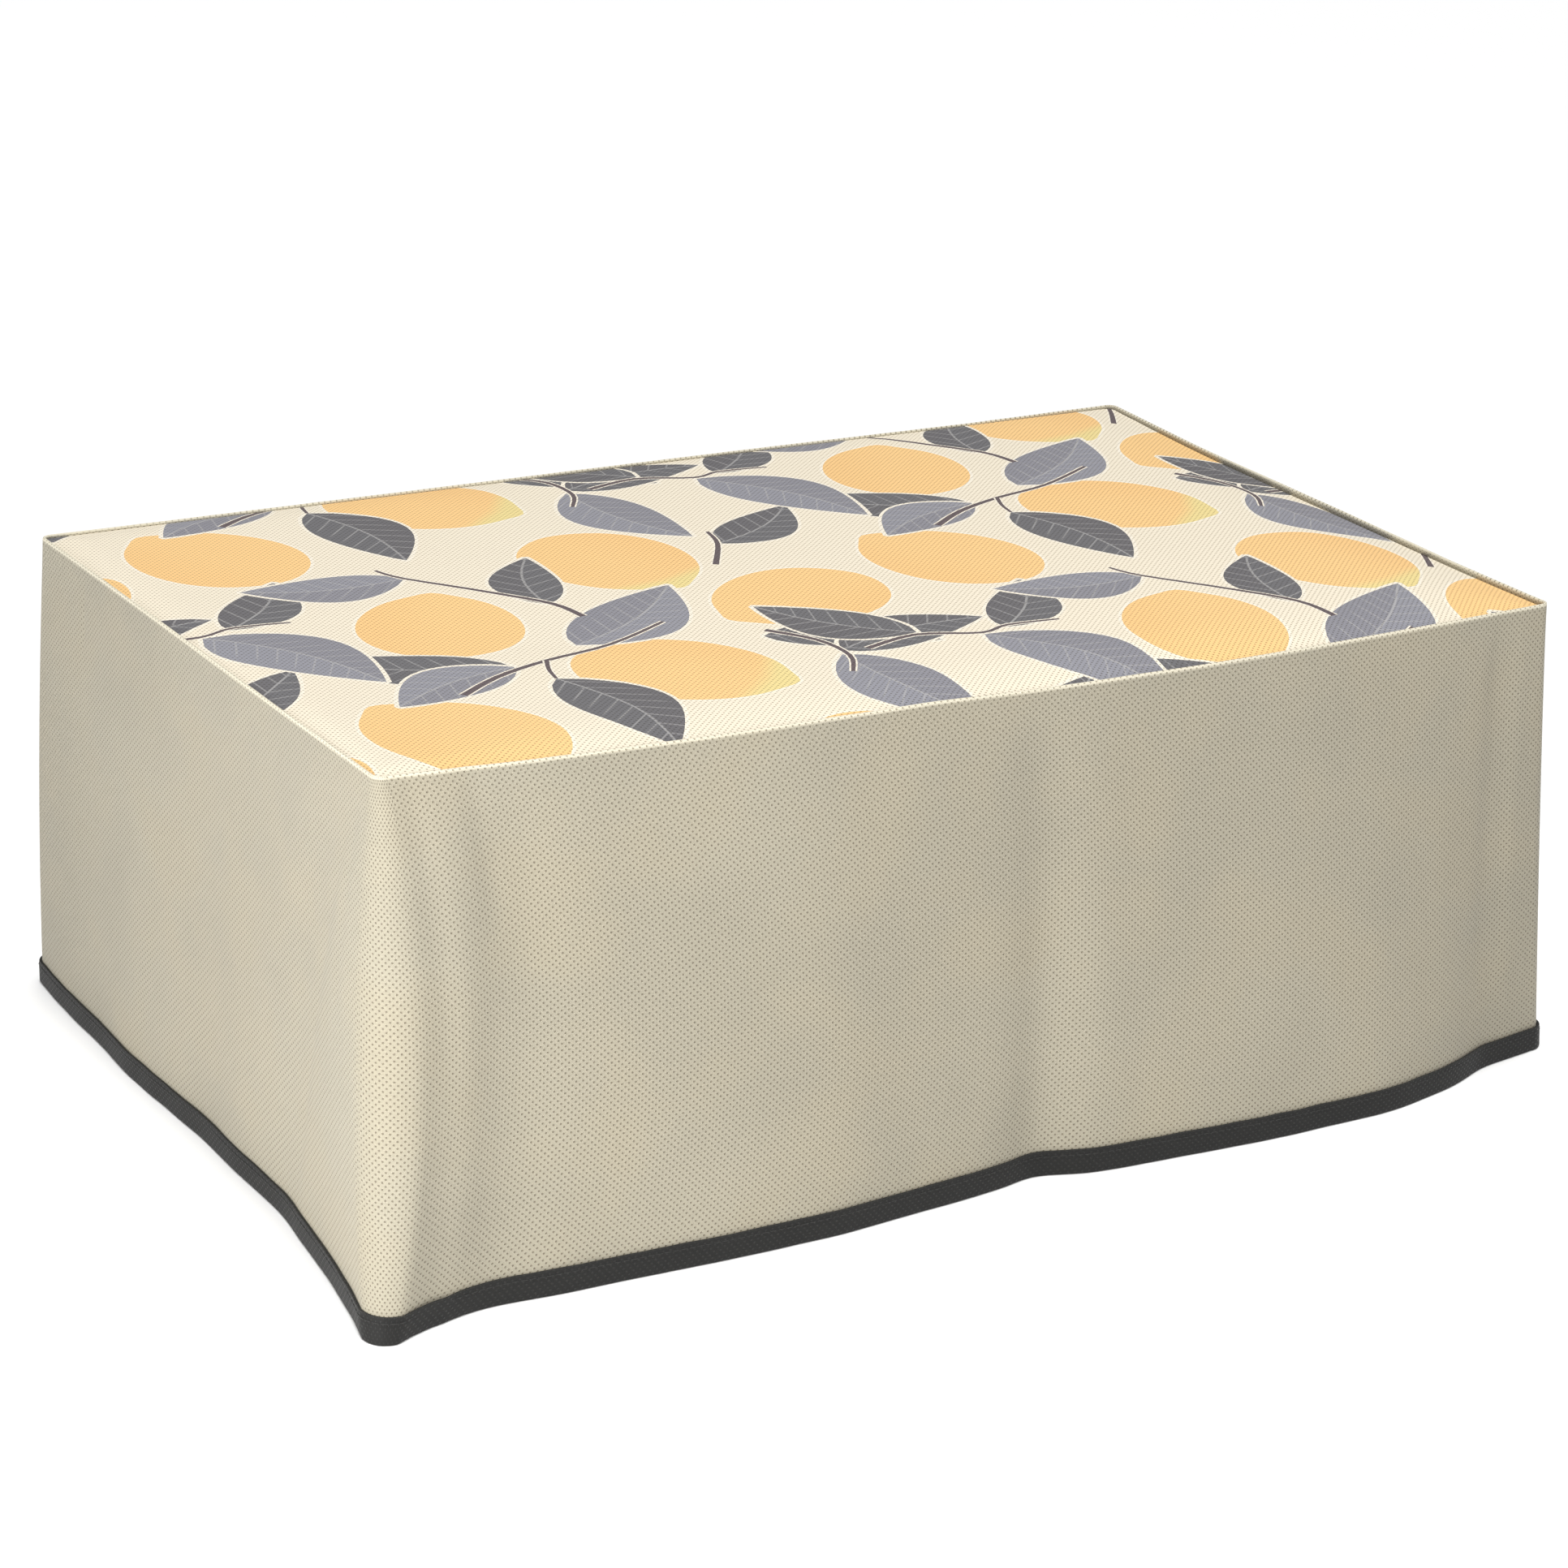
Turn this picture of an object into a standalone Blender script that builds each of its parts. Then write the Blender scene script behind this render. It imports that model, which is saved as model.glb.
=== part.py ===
"""Fitted fabric cover for a desktop printer, as it hangs over the printer it hides.

Three sewn pieces: a printed top panel, one long skirt that goes all the way round, and a dark
binding folded over the hem. The skirt's upper edge is folded over into a low standing ridge that
traps the top panel's edge. The cloth is soft: the rim dips and lifts a little, the walls flare
outwards towards the hem, and a few soft folds run down them.

Metres, +Z up. The origin is the centre of the flat underside of the top panel, where the cover
rests on the printer; +X runs along the long front, +Y away from the front.
"""

import math

import bmesh
import bpy

MM = 0.001

# Driving dimensions, in millimetres
WIDTH = 500.0          # rim, left to right
DEPTH = 310.0          # rim, front to back
RIM_HEIGHT = 0.5       # the rim's usual height over the panel's underside
HEM_HEIGHT = -189.5    # the level on which the whole hem ends
CLOTH = 1.0            # thickness of the panel and of the skirt
GAP = 0.3              # clear space between two sewn pieces
RIM_RADIUS = 4.0       # plan radius of the corners at the rim
HEM_RADIUS = 9.0       # plan radius of the corners at the hem
RIM_EASE = 0.15        # share of the way down in which the folds set in
CORNER_EASE = 10.0     # distance from a corner in which they fade out

# Hem binding
BINDING_HEIGHT = 9.5
BINDING_THICKNESS = 1.0
BINDING_EASE = 0.5      # how far its lower corners are rounded off
BINDING_REACH = GAP + BINDING_THICKNESS
SKIRT_END = HEM_HEIGHT + BINDING_THICKNESS + GAP

# Rounded crest of the rim's fold: how far in from the outer face, and how far under the top
CREST = ((0.0, 0.8), (0.3, 0.2), (1.0, 0.0), (1.7, 0.2), (2.0, 0.8))
FOLD_WIDTH = 2 * CLOTH

# Heights on the wall, as shares of the way from the rim down to the hem
WALL_SHARES = (0.05, 0.13, 0.26, 0.42, 0.59, 0.76, 0.9)

# The top panel's rings: inset as a share of the shoulder's width, and share of the way up to it
SHOULDER_RINGS = ((0.35, 0.55), (1.0, 1.0))
EASE_INSET = 58.0      # here the rise beside a raised corner has halved
FLAT_INSET = 112.0     # inside this the panel is exactly flat
EASE_SHARE = 0.45

# Spacing of the sections along each side, and sections in each corner's quarter turn
SIDES = ("front", "right", "back", "left")
SPACING = {"front": 12.5, "right": 20.0, "back": 20.0, "left": 12.5}
CORNER_STEPS = 5

# The rim. Each row is a place on a side, in mm from where that side starts (going round
# anticlockwise from the near left corner):
# side, along, shift east, shift north, lift, stand over the panel, shoulder width, shoulder rise
RIM_ROWS = (
    ("front", 0, 2.0, 1.0, 4.6, 1.8, 9, 4.2),
    ("front", 60, 0.6, 0.4, 2.2, 2.0, 22, 2.0),
    ("front", 134, 0.0, 0.0, 0.5, 2.0, 30, 0.4),
    ("front", 214, 0.0, 0.0, -0.3, 2.0, 30, 0.0),
    ("front", 264, 0.0, -1.4, -1.4, 2.0, 30, 0.0),
    ("front", 348, 0.6, -2.0, -2.1, 2.2, 34, 0.0),
    ("front", 409, 0.6, -1.0, -2.0, 2.4, 38, -0.4),
    ("right", 0, -0.8, 1.6, -1.6, 2.8, 40, -1.0),
    ("right", 53, -2.4, 1.0, -0.9, 3.2, 40, -0.4),
    ("right", 144, -1.2, 0.0, -0.1, 3.2, 40, 0.0),
    ("right", 215, -1.4, 0.0, 0.7, 3.0, 40, 0.0),
    ("back", 0, 3.0, -1.0, 1.3, 1.8, 20, 0.4),
    ("back", 76, 0.5, -1.8, 1.0, 1.4, 14, 0.0),
    ("back", 195, 0.0, 0.2, 0.8, 1.4, 14, 0.0),
    ("back", 420, 0.0, -0.2, 0.8, 1.4, 14, 0.0),
    ("left", 0, -3.0, 0.6, 0.6, 1.4, 14, 0.0),
    ("left", 56, -0.8, 0.0, 0.4, 1.4, 15, 0.0),
    ("left", 153, 1.3, 0.0, 1.0, 1.4, 15, 0.6),
    ("left", 214, 1.9, 0.0, 1.9, 1.5, 14, 1.6),
    ("left", 265, 2.0, 0.4, 3.4, 1.6, 12, 3.2),
)
RIM_COLUMNS = ("east", "north", "lift", "stand", "shoulder", "rise")

# The hem's outer line:
# side, along, shift east, shift north, bow (how far the wall stands out half way down)
HEM_ROWS = (
    ("front", 0, -12.0, -26.0, 0.0),
    ("front", 15, -10.0, -18.8, 0.6),
    ("front", 32, -9.0, -17.2, -0.4),
    ("front", 54, -7.0, -18.2, -1.4),
    ("front", 80, -5.0, -19.4, -0.6),
    ("front", 112, -4.0, -21.0, 0.4),
    ("front", 170, -2.0, -23.0, 1.0),
    ("front", 206, -0.5, -20.8, 0.6),
    ("front", 245, 0.0, -17.8, 0.2),
    ("front", 260, 0.0, -16.6, 0.0),
    ("front", 286, 1.0, -21.8, 0.2),
    ("front", 328, 2.0, -25.2, 0.8),
    ("front", 372, 4.0, -28.2, 1.2),
    ("front", 408, 6.0, -28.6, 1.0),
    ("front", 444, 9.0, -23.0, 0.4),
    ("front", 466, 10.0, -16.8, -0.4),
    ("front", 482, 12.0, -11.6, 0.0),
    ("right", 0, 14.8, -8.0, 0.0),
    ("right", 45, 11.0, -4.0, 0.4),
    ("right", 105, 14.5, 0.0, 1.0),
    ("right", 165, 9.0, 2.0, -0.4),
    ("right", 230, 14.5, 5.0, 0.8),
    ("right", 280, 11.0, 8.0, 0.0),
    ("back", 0, 11.5, 12.5, 0.0),
    ("back", 70, 6.0, 17.0, 1.0),
    ("back", 150, 3.0, 10.5, -0.6),
    ("back", 240, 0.0, 18.5, 1.2),
    ("back", 320, -2.0, 11.5, -0.6),
    ("back", 410, -5.0, 16.0, 0.8),
    ("back", 470, -7.0, 11.0, 0.0),
    ("left", 0, -9.2, 11.0, 1.9),
    ("left", 23, -9.8, 7.0, 1.9),
    ("left", 50, -9.6, 5.0, 1.6),
    ("left", 94, -8.8, 2.0, 1.0),
    ("left", 140, -5.2, 0.0, 0.2),
    ("left", 166, -3.2, -2.0, -0.4),
    ("left", 187, -2.6, -4.0, 0.0),
    ("left", 212, -2.0, -7.0, -0.8),
    ("left", 238, -2.6, -11.0, -1.0),
    ("left", 268, -4.8, -16.0, -0.4),
    ("left", 296, -9.0, -23.0, 0.4),
)
HEM_COLUMNS = ("east", "north", "bow")

# Soft folds down the walls; a negative depth is a trough:
# side, along at the rim, along at the hem, half width, depth near the rim, depth near the hem
FOLD_ROWS = (
    ("front", 19, 17, 11, 0.9, 0.8),
    ("front", 42, 40, 15, -1.5, -1.2),
    ("front", 150, 120, 40, 0.9, 0.2),
    ("front", 186, 190, 20, -0.9, -0.2),
    ("front", 262, 259, 13, -0.3, -1.2),
    ("front", 484, 472, 10, -1.6, -1.4),
    ("left", 293, 226, 14, -1.4, -1.2),
    ("left", 262, 184, 16, 0.8, 0.6),
    ("left", 40, 62, 18, -0.7, -0.5),
    ("right", 30, 40, 14, -1.2, -0.6),
    ("right", 170, 165, 22, -1.0, -0.6),
    ("back", 148, 150, 24, -1.0, -0.6),
    ("back", 330, 320, 26, -1.0, -0.6),
)

# Colours and finish: red, green, blue, roughness
PRINT_GROUND = (0.86, 0.80, 0.66, 0.75)
CREAM_CLOTH = (0.55, 0.50, 0.38, 0.75)
BLACK_BINDING = (0.012, 0.012, 0.011, 0.7)


def side_length(side):
    """Nominal rim length of one side."""
    return WIDTH if side in ("front", "back") else DEPTH


def side_start(side):
    """The nominal corner where a side starts."""
    half_w = WIDTH / 2
    half_d = DEPTH / 2
    return {"front": (-half_w, -half_d), "right": (half_w, -half_d),
            "back": (half_w, half_d), "left": (-half_w, half_d)}[side]


def side_direction(side):
    """Unit direction in which a side runs."""
    return {"front": (1, 0), "right": (0, 1), "back": (-1, 0), "left": (0, -1)}[side]


def next_side(side):
    return SIDES[(SIDES.index(side) + 1) % len(SIDES)]


def side_table(rows, columns, side):
    """One side's rows, closed with the first row of the side after it."""
    own = [(row[1], row[2:]) for row in rows if row[0] == side]
    first_of_next = next(row for row in rows if row[0] == next_side(side))
    own.append((side_length(side), first_of_next[2:]))
    return {name: [(along, values[i]) for along, values in own] for i, name in enumerate(columns)}


def slopes_through(points):
    """Slopes at the points of a smooth curve that never overshoots them."""
    steps = [(b[1] - a[1]) / (b[0] - a[0]) for a, b in zip(points, points[1:])]
    slopes = [steps[0]]
    for before, after in zip(steps, steps[1:]):
        same_way = before * after > 0
        slopes.append(2 * before * after / (before + after) if same_way else 0.0)
    slopes.append(steps[-1])
    return slopes


def read_curve(points, along):
    """The smooth curve through (along, value) points, read at one place."""
    slopes = slopes_through(points)
    index = max(i for i in range(len(points) - 1) if i == 0 or points[i][0] <= along)
    (x0, y0), (x1, y1) = points[index], points[index + 1]
    span = x1 - x0
    t = min(max((along - x0) / span, 0.0), 1.0)
    rise = (y1 - y0) * t * t * (3 - 2 * t)
    ease_in = slopes[index] * span * t * (1 - t) ** 2
    ease_out = slopes[index + 1] * span * t * t * (t - 1)
    return y0 + rise + ease_in + ease_out


RIM_TABLES = {side: side_table(RIM_ROWS, RIM_COLUMNS, side) for side in SIDES}
HEM_TABLES = {side: side_table(HEM_ROWS, HEM_COLUMNS, side) for side in SIDES}


class Section:
    """One upright section of the cover: a place on the rim and how the cloth stands there."""

    def __init__(self, side, along, turn=None):
        self.side = side
        self.along = along
        self.turn = turn       # angle into the corner at this side's start, or None on a wall
        self.rim = {name: read_curve(RIM_TABLES[side][name], along) for name in RIM_COLUMNS}
        self.hem = {name: read_curve(HEM_TABLES[side][name], along) for name in HEM_COLUMNS}
        self.rim_top = RIM_HEIGHT + self.rim["lift"]
        self.panel_top = self.rim_top - self.rim["stand"]

    def outward(self):
        """Horizontal direction out of the wall."""
        x, y = side_direction(self.side)
        if self.turn is None:
            return (y, -x)
        back = math.pi / 2 - self.turn
        return (y * math.cos(back) - x * math.sin(back), -x * math.cos(back) - y * math.sin(back))

    def nominal(self, radius):
        """Point of the plain rounded rectangle."""
        (cx, cy), (dx, dy) = side_start(self.side), side_direction(self.side)
        length = side_length(self.side)
        if self.turn is None:
            reach = radius + self.along / length * (length - 2 * radius)
            return (cx + dx * reach, cy + dy * reach)
        centre = (cx + (dx - dy) * radius, cy + (dy + dx) * radius)
        out = self.outward()
        return (centre[0] + out[0] * radius, centre[1] + out[1] * radius)

    def fold_depth(self, share):
        """Soft troughs and ridges, read at a share of the way down."""
        if self.turn is not None:
            return 0.0
        depth = 0.0
        for side, top, bottom, half_width, near_rim, near_hem in FOLD_ROWS:
            if side != self.side:
                continue
            centre = top + (bottom - top) * share
            bell = math.exp(-((self.along - centre) / half_width) ** 2)
            depth += bell * (near_rim + (near_hem - near_rim) * share)
        to_corner = min(self.along, side_length(self.side) - self.along)
        return depth * min(share / RIM_EASE, 1.0) * min(to_corner / CORNER_EASE, 1.0)

    def wall_point(self, z, inset=0.0):
        """A point of the wall at height z, so far in from its outer face."""
        share = min(max((self.rim_top - z) / (self.rim_top - HEM_HEIGHT), 0.0), 1.0)
        radius = RIM_RADIUS + (HEM_RADIUS - RIM_RADIUS) * share
        x, y = self.nominal(radius)
        out = self.outward()
        taper = math.sqrt(share) * BINDING_REACH
        stand_out = self.fold_depth(share) + self.hem["bow"] * 4 * share * (1 - share) - taper - inset
        x += self.rim["east"] * (1 - share) + self.hem["east"] * share + out[0] * stand_out
        y += self.rim["north"] * (1 - share) + self.hem["north"] * share + out[1] * stand_out
        return (x, y, z)


def make_sections():
    """Sections all the way round, each side led by its corner."""
    sections = []
    for side in SIDES:
        for step in range(1, CORNER_STEPS):
            turn = math.pi / 2 * step / CORNER_STEPS
            sections.append(Section(side, 0.0, turn))
        count = round(side_length(side) / SPACING[side])
        for step in range(count + 1):
            sections.append(Section(side, side_length(side) * step / count))
    return sections


def skirt_profile(section):
    """Closed outline of the skirt's cloth: down the outside, up the inside, over the ridge."""
    top = section.rim_top
    fold_end = section.panel_top + GAP
    heights = [top - share * (top - HEM_HEIGHT) for share in WALL_SHARES] + [SKIRT_END]
    points = [section.wall_point(top - drop, inset) for inset, drop in reversed(CREST)]
    points += [section.wall_point(z) for z in heights]
    points += [section.wall_point(z, CLOTH) for z in reversed(heights)]
    points.append(section.wall_point(fold_end, CLOTH))
    points.append(section.wall_point(fold_end, FOLD_WIDTH))
    return points


def binding_profile(section):
    """Closed outline of the binding, a strip folded round the skirt's lower edge."""
    outside = -BINDING_REACH
    inside = CLOTH + BINDING_REACH
    top = HEM_HEIGHT + BINDING_HEIGHT
    web = HEM_HEIGHT + BINDING_THICKNESS
    eased = HEM_HEIGHT + BINDING_EASE
    corners = ((outside, top), (outside, eased), (outside + BINDING_EASE, HEM_HEIGHT),
               (inside - BINDING_EASE, HEM_HEIGHT), (inside, eased), (inside, top),
               (CLOTH + GAP, top), (CLOTH + GAP, web), (-GAP, web), (-GAP, top))
    return [section.wall_point(z, inset) for inset, z in corners]


def panel_ring(section, inset, height):
    """A point of the top panel, drawn in from the sewn edge towards the middle."""
    x, y, _ = section.wall_point(section.panel_top, CLOTH + GAP)
    return (x * (1 - inset / (WIDTH / 2)), y * (1 - inset / (DEPTH / 2)), height)


def panel_profile(section):
    """The panel's upper face from its edge in to where it is flat."""
    edge = section.panel_top
    crest = CLOTH + section.rim["rise"]
    points = [panel_ring(section, 0.0, edge)]
    for inset_share, rise_share in SHOULDER_RINGS:
        height = edge + (crest - edge) * rise_share
        points.append(panel_ring(section, section.rim["shoulder"] * inset_share, height))
    points.append(panel_ring(section, EASE_INSET, CLOTH + section.rim["rise"] * EASE_SHARE))
    points.append(panel_ring(section, FLAT_INSET, CLOTH))
    return points


def add_points(bm, points):
    return [bm.verts.new([value * MM for value in point]) for point in points]


def bridge(bm, first, second, closed):
    """Faces between two rows of vertices."""
    last = len(first) if closed else len(first) - 1
    for i in range(last):
        j = (i + 1) % len(first)
        bm.faces.new((first[i], first[j], second[j], second[i]))


def swept_ring(bm, sections, profile):
    """A closed outline carried all the way round the cover."""
    rows = [add_points(bm, profile(section)) for section in sections]
    for row, following in zip(rows, rows[1:] + rows[:1]):
        bridge(bm, row, following, closed=True)


def panel_sheet(bm, sections):
    """The top panel: two faces, one cloth apart, joined round the edge."""
    faces = []
    for depth in (0.0, CLOTH):
        columns = [[(x, y, z - depth) for x, y, z in panel_profile(section)] for section in sections]
        rings = [add_points(bm, ring) for ring in zip(*columns)]
        for outer, inner in zip(rings, rings[1:]):
            bridge(bm, outer, inner, closed=True)
        bm.faces.new(rings[-1])
        faces.append(rings[0])
    bridge(bm, faces[0], faces[1], closed=True)


def make_material(name, values):
    red, green, blue, roughness = values
    material = bpy.data.materials.new(name)
    material.use_nodes = True
    shader = material.node_tree.nodes["Principled BSDF"]
    shader.inputs["Base Color"].default_value = (red, green, blue, 1.0)
    shader.inputs["Roughness"].default_value = roughness
    shader.inputs["Metallic"].default_value = 0.0
    return material


def make_object(name, bm, material):
    bmesh.ops.recalc_face_normals(bm, faces=bm.faces)
    bmesh.ops.triangulate(bm, faces=bm.faces, quad_method="BEAUTY", ngon_method="BEAUTY")
    mesh = bpy.data.meshes.new(name)
    bm.to_mesh(mesh)
    bm.free()
    mesh.materials.append(material)
    mesh.shade_smooth()
    mesh.set_sharp_from_angle(angle=math.radians(40))
    piece = bpy.data.objects.new(name, mesh)
    bpy.context.scene.collection.objects.link(piece)
    return piece


def make_top_panel(sections):
    bm = bmesh.new()
    panel_sheet(bm, sections)
    return make_object("top_panel", bm, make_material("printed_cloth", PRINT_GROUND))


def make_skirt(sections):
    bm = bmesh.new()
    swept_ring(bm, sections, skirt_profile)
    return make_object("skirt", bm, make_material("cream_cloth", CREAM_CLOTH))


def make_hem_binding(sections):
    bm = bmesh.new()
    swept_ring(bm, sections, binding_profile)
    return make_object("hem_binding", bm, make_material("black_binding", BLACK_BINDING))


def main():
    for old in list(bpy.data.objects):
        bpy.data.objects.remove(old, do_unlink=True)
    sections = make_sections()
    make_top_panel(sections)
    make_skirt(sections)
    make_hem_binding(sections)


main()
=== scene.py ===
"""A fitted fabric cover for a desktop printer: printed top, cream skirt and black bound hem.

Sizes in the tables are in millimetres and become metres when a mesh is made. The shape's tables
are those of the CAD solids, read here at a finer spacing and with the small creases added.
"""

import math

import bmesh
import bpy
from mathutils import Matrix, Vector, geometry, noise


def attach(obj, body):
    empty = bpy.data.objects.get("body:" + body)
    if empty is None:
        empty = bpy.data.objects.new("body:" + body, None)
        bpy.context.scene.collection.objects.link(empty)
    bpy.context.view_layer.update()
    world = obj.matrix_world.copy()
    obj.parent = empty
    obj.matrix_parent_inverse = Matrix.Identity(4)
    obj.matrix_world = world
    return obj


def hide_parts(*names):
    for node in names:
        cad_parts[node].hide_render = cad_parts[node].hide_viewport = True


bl_info = {
    "name": "Printer cover",
    "version": (1, 0, 0),
    "blender": (4, 5, 0),
    "location": "View3D > Sidebar > Printer cover",
    "description": "Builds a fitted fabric cover for a desktop printer",
    "category": "Add Mesh",
}

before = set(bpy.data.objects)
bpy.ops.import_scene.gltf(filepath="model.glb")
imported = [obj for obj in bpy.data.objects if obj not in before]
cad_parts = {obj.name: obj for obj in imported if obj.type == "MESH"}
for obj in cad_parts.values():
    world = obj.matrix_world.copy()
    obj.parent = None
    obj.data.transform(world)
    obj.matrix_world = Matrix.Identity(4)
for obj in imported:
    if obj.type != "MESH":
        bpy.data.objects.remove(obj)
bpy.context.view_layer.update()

MM = 0.001

# The cover's driving sizes, as in the CAD
WIDTH = 500.0
DEPTH = 310.0
RIM_HEIGHT = 0.5
HEM_HEIGHT = -189.5
WALL_HEIGHT = RIM_HEIGHT - HEM_HEIGHT
RIM_RADIUS = 4.0
HEM_RADIUS = 9.0
RIM_EASE = 0.15
CORNER_EASE = 10.0
BINDING_HEIGHT = 9.5
BINDING_REACH = 1.3
FLAT_INSET = 112.0
EASE_INSET = 58.0
EASE_SHARE = 0.45
PANEL_THICKNESS = 1.0

# Spacing of the cloth's mesh
SIDES = ("front", "right", "back", "left")
SPACING = {"front": 3.0, "right": 4.5, "back": 5.0, "left": 3.0}
CORNER_STEPS = 9
# How much rounder each side's starting corner is half way down the wall, and how fully it bulges
CORNER_SOFTNESS = {"front": 11.0, "right": 1.0, "back": 3.0, "left": 1.0}
CORNER_FULLNESS = 0.7
WALL_ROWS = 44
BACK_SEAM = 250.0
SEAM_COLUMNS = (-2.2, -1.2, -0.5, 0.5, 1.2, 2.2)

# The rim. side, along (mm from where the side starts, going round anticlockwise from the near
# left corner), shift east, shift north, lift, stand over the panel, shoulder width, shoulder rise
RIM_ROWS = (
    ("front", 0, 2.0, 1.0, 4.6, 1.8, 9, 4.2),
    ("front", 60, 0.6, 0.4, 2.2, 2.0, 22, 2.0),
    ("front", 134, 0.0, 0.0, 0.5, 2.0, 30, 0.4),
    ("front", 214, 0.0, 0.0, -0.3, 2.0, 30, 0.0),
    ("front", 264, 0.0, -1.4, -1.4, 2.0, 30, 0.0),
    ("front", 348, 0.6, -2.0, -2.1, 2.2, 34, 0.0),
    ("front", 409, 0.6, -1.0, -2.0, 2.4, 38, -0.4),
    ("right", 0, -0.8, 1.6, -1.6, 2.8, 40, -1.0),
    ("right", 53, -2.4, 1.0, -0.9, 3.2, 40, -0.4),
    ("right", 144, -1.2, 0.0, -0.1, 3.2, 40, 0.0),
    ("right", 215, -1.4, 0.0, 0.7, 3.0, 40, 0.0),
    ("back", 0, 3.0, -1.0, 1.3, 1.8, 20, 0.4),
    ("back", 76, 0.5, -1.8, 1.0, 1.4, 14, 0.0),
    ("back", 195, 0.0, 0.2, 0.8, 1.4, 14, 0.0),
    ("back", 420, 0.0, -0.2, 0.8, 1.4, 14, 0.0),
    ("left", 0, -3.0, 0.6, 0.6, 1.4, 14, 0.0),
    ("left", 56, -0.8, 0.0, 0.4, 1.4, 15, 0.0),
    ("left", 153, 1.3, 0.0, 1.0, 1.4, 15, 0.6),
    ("left", 214, 1.9, 0.0, 1.9, 1.5, 14, 1.6),
    ("left", 265, 2.0, 0.4, 3.4, 1.6, 12, 3.2),
)
RIM_COLUMNS = ("east", "north", "lift", "stand", "shoulder", "rise")

# The hem's outer line: side, along, shift east, shift north, bow half way down the wall
HEM_ROWS = (
    ("front", 0, -12.0, -26.0, 0.0),
    ("front", 15, -10.0, -18.8, 0.6),
    ("front", 32, -9.0, -17.2, -0.4),
    ("front", 54, -7.0, -18.2, -1.4),
    ("front", 80, -5.0, -19.4, -0.6),
    ("front", 112, -4.0, -21.0, 0.4),
    ("front", 170, -2.0, -23.0, 1.0),
    ("front", 206, -0.5, -20.8, 0.6),
    ("front", 245, 0.0, -17.8, 0.2),
    ("front", 260, 0.0, -16.6, 0.0),
    ("front", 286, 1.0, -21.8, 0.2),
    ("front", 328, 2.0, -25.2, 0.8),
    ("front", 372, 4.0, -28.2, 1.2),
    ("front", 408, 6.0, -28.6, 1.0),
    ("front", 444, 9.0, -23.0, 0.4),
    ("front", 466, 10.0, -16.8, -0.4),
    ("front", 482, 12.0, -11.6, 0.0),
    ("right", 0, 14.8, -8.0, 0.0),
    ("right", 45, 11.0, -4.0, 0.4),
    ("right", 105, 14.5, 0.0, 1.0),
    ("right", 165, 9.0, 2.0, -0.4),
    ("right", 230, 14.5, 5.0, 0.8),
    ("right", 280, 11.0, 8.0, 0.0),
    ("back", 0, 11.5, 12.5, 0.0),
    ("back", 70, 6.0, 17.0, 1.0),
    ("back", 150, 3.0, 10.5, -0.6),
    ("back", 240, 0.0, 18.5, 1.2),
    ("back", 320, -2.0, 11.5, -0.6),
    ("back", 410, -5.0, 16.0, 0.8),
    ("back", 470, -7.0, 11.0, 0.0),
    ("left", 0, -9.2, 11.0, 1.9),
    ("left", 23, -9.8, 7.0, 1.9),
    ("left", 50, -9.6, 5.0, 1.6),
    ("left", 94, -8.8, 2.0, 1.0),
    ("left", 140, -5.2, 0.0, 0.2),
    ("left", 166, -3.2, -2.0, -0.4),
    ("left", 187, -2.6, -4.0, 0.0),
    ("left", 212, -2.0, -7.0, -0.8),
    ("left", 238, -2.6, -11.0, -1.0),
    ("left", 268, -4.8, -16.0, -0.4),
    ("left", 296, -9.0, -23.0, 0.4),
)
HEM_COLUMNS = ("east", "north", "bow")

# Soft folds down the walls; a negative depth is a trough:
# side, along at the rim, along at the hem, half width, depth near the rim, depth near the hem
FOLD_ROWS = (
    ("front", 19, 17, 11, 0.9, 0.8),
    ("front", 42, 40, 15, -1.5, -1.2),
    ("front", 150, 120, 40, 0.9, 0.2),
    ("front", 186, 190, 20, -0.9, -0.2),
    ("front", 262, 259, 13, -0.3, -1.2),
    ("front", 484, 472, 10, -1.6, -1.4),
    ("left", 293, 226, 14, -1.4, -1.2),
    ("left", 262, 184, 16, 0.8, 0.6),
    ("left", 40, 62, 18, -0.7, -0.5),
    ("right", 30, 40, 14, -1.2, -0.6),
    ("right", 170, 165, 22, -1.0, -0.6),
    ("back", 148, 150, 24, -1.0, -0.6),
    ("back", 330, 320, 26, -1.0, -0.6),
)

# Small creases, shorter and sharper than the folds:
# side, start along, start share down, end along, end share down, half width, depth
CREASE_ROWS = (
    ("front", 6, 0.02, 12, 0.55, 4.0, -0.5),
    ("front", 30, 0.0, 33, 0.30, 5.0, -0.5),
    ("front", 478, 0.02, 470, 0.85, 3.5, -0.7),
    ("front", 490, 0.05, 486, 0.90, 3.0, 0.5),
    ("front", 258, 0.05, 258, 1.0, 15.0, -1.1),
    ("front", 282, 0.05, 284, 0.9, 12.0, 0.6),
    ("front", 300, 0.75, 306, 1.0, 6.0, -0.3),
    ("left", 303, 0.05, 290, 0.50, 3.0, -0.5),
    ("left", 296, 0.10, 238, 0.95, 3.5, -0.6),
    ("left", 42, 0.05, 43, 0.18, 1.6, -0.5),
    ("left", 120, 0.60, 105, 1.0, 6.0, -0.3),
    ("right", 8, 0.03, 14, 0.60, 4.0, -0.6),
    ("right", 300, 0.03, 290, 0.70, 4.0, -0.6),
    ("back", 8, 0.03, 16, 0.60, 4.0, -0.6),
    ("back", 492, 0.03, 484, 0.60, 4.0, -0.6),
    ("back", 240, 0.30, 236, 1.0, 5.0, 0.4),
)
# Shares of a crease's length over which it begins and ends, and its reach in half widths
CREASE_START = (-0.12, 0.15)
CREASE_END = (0.8, 1.12)
CREASE_REACH = 3
WAVE_SIZE = 60.0       # size of the slight unevenness all over the walls
WAVE_DEPTH = 0.35
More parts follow.
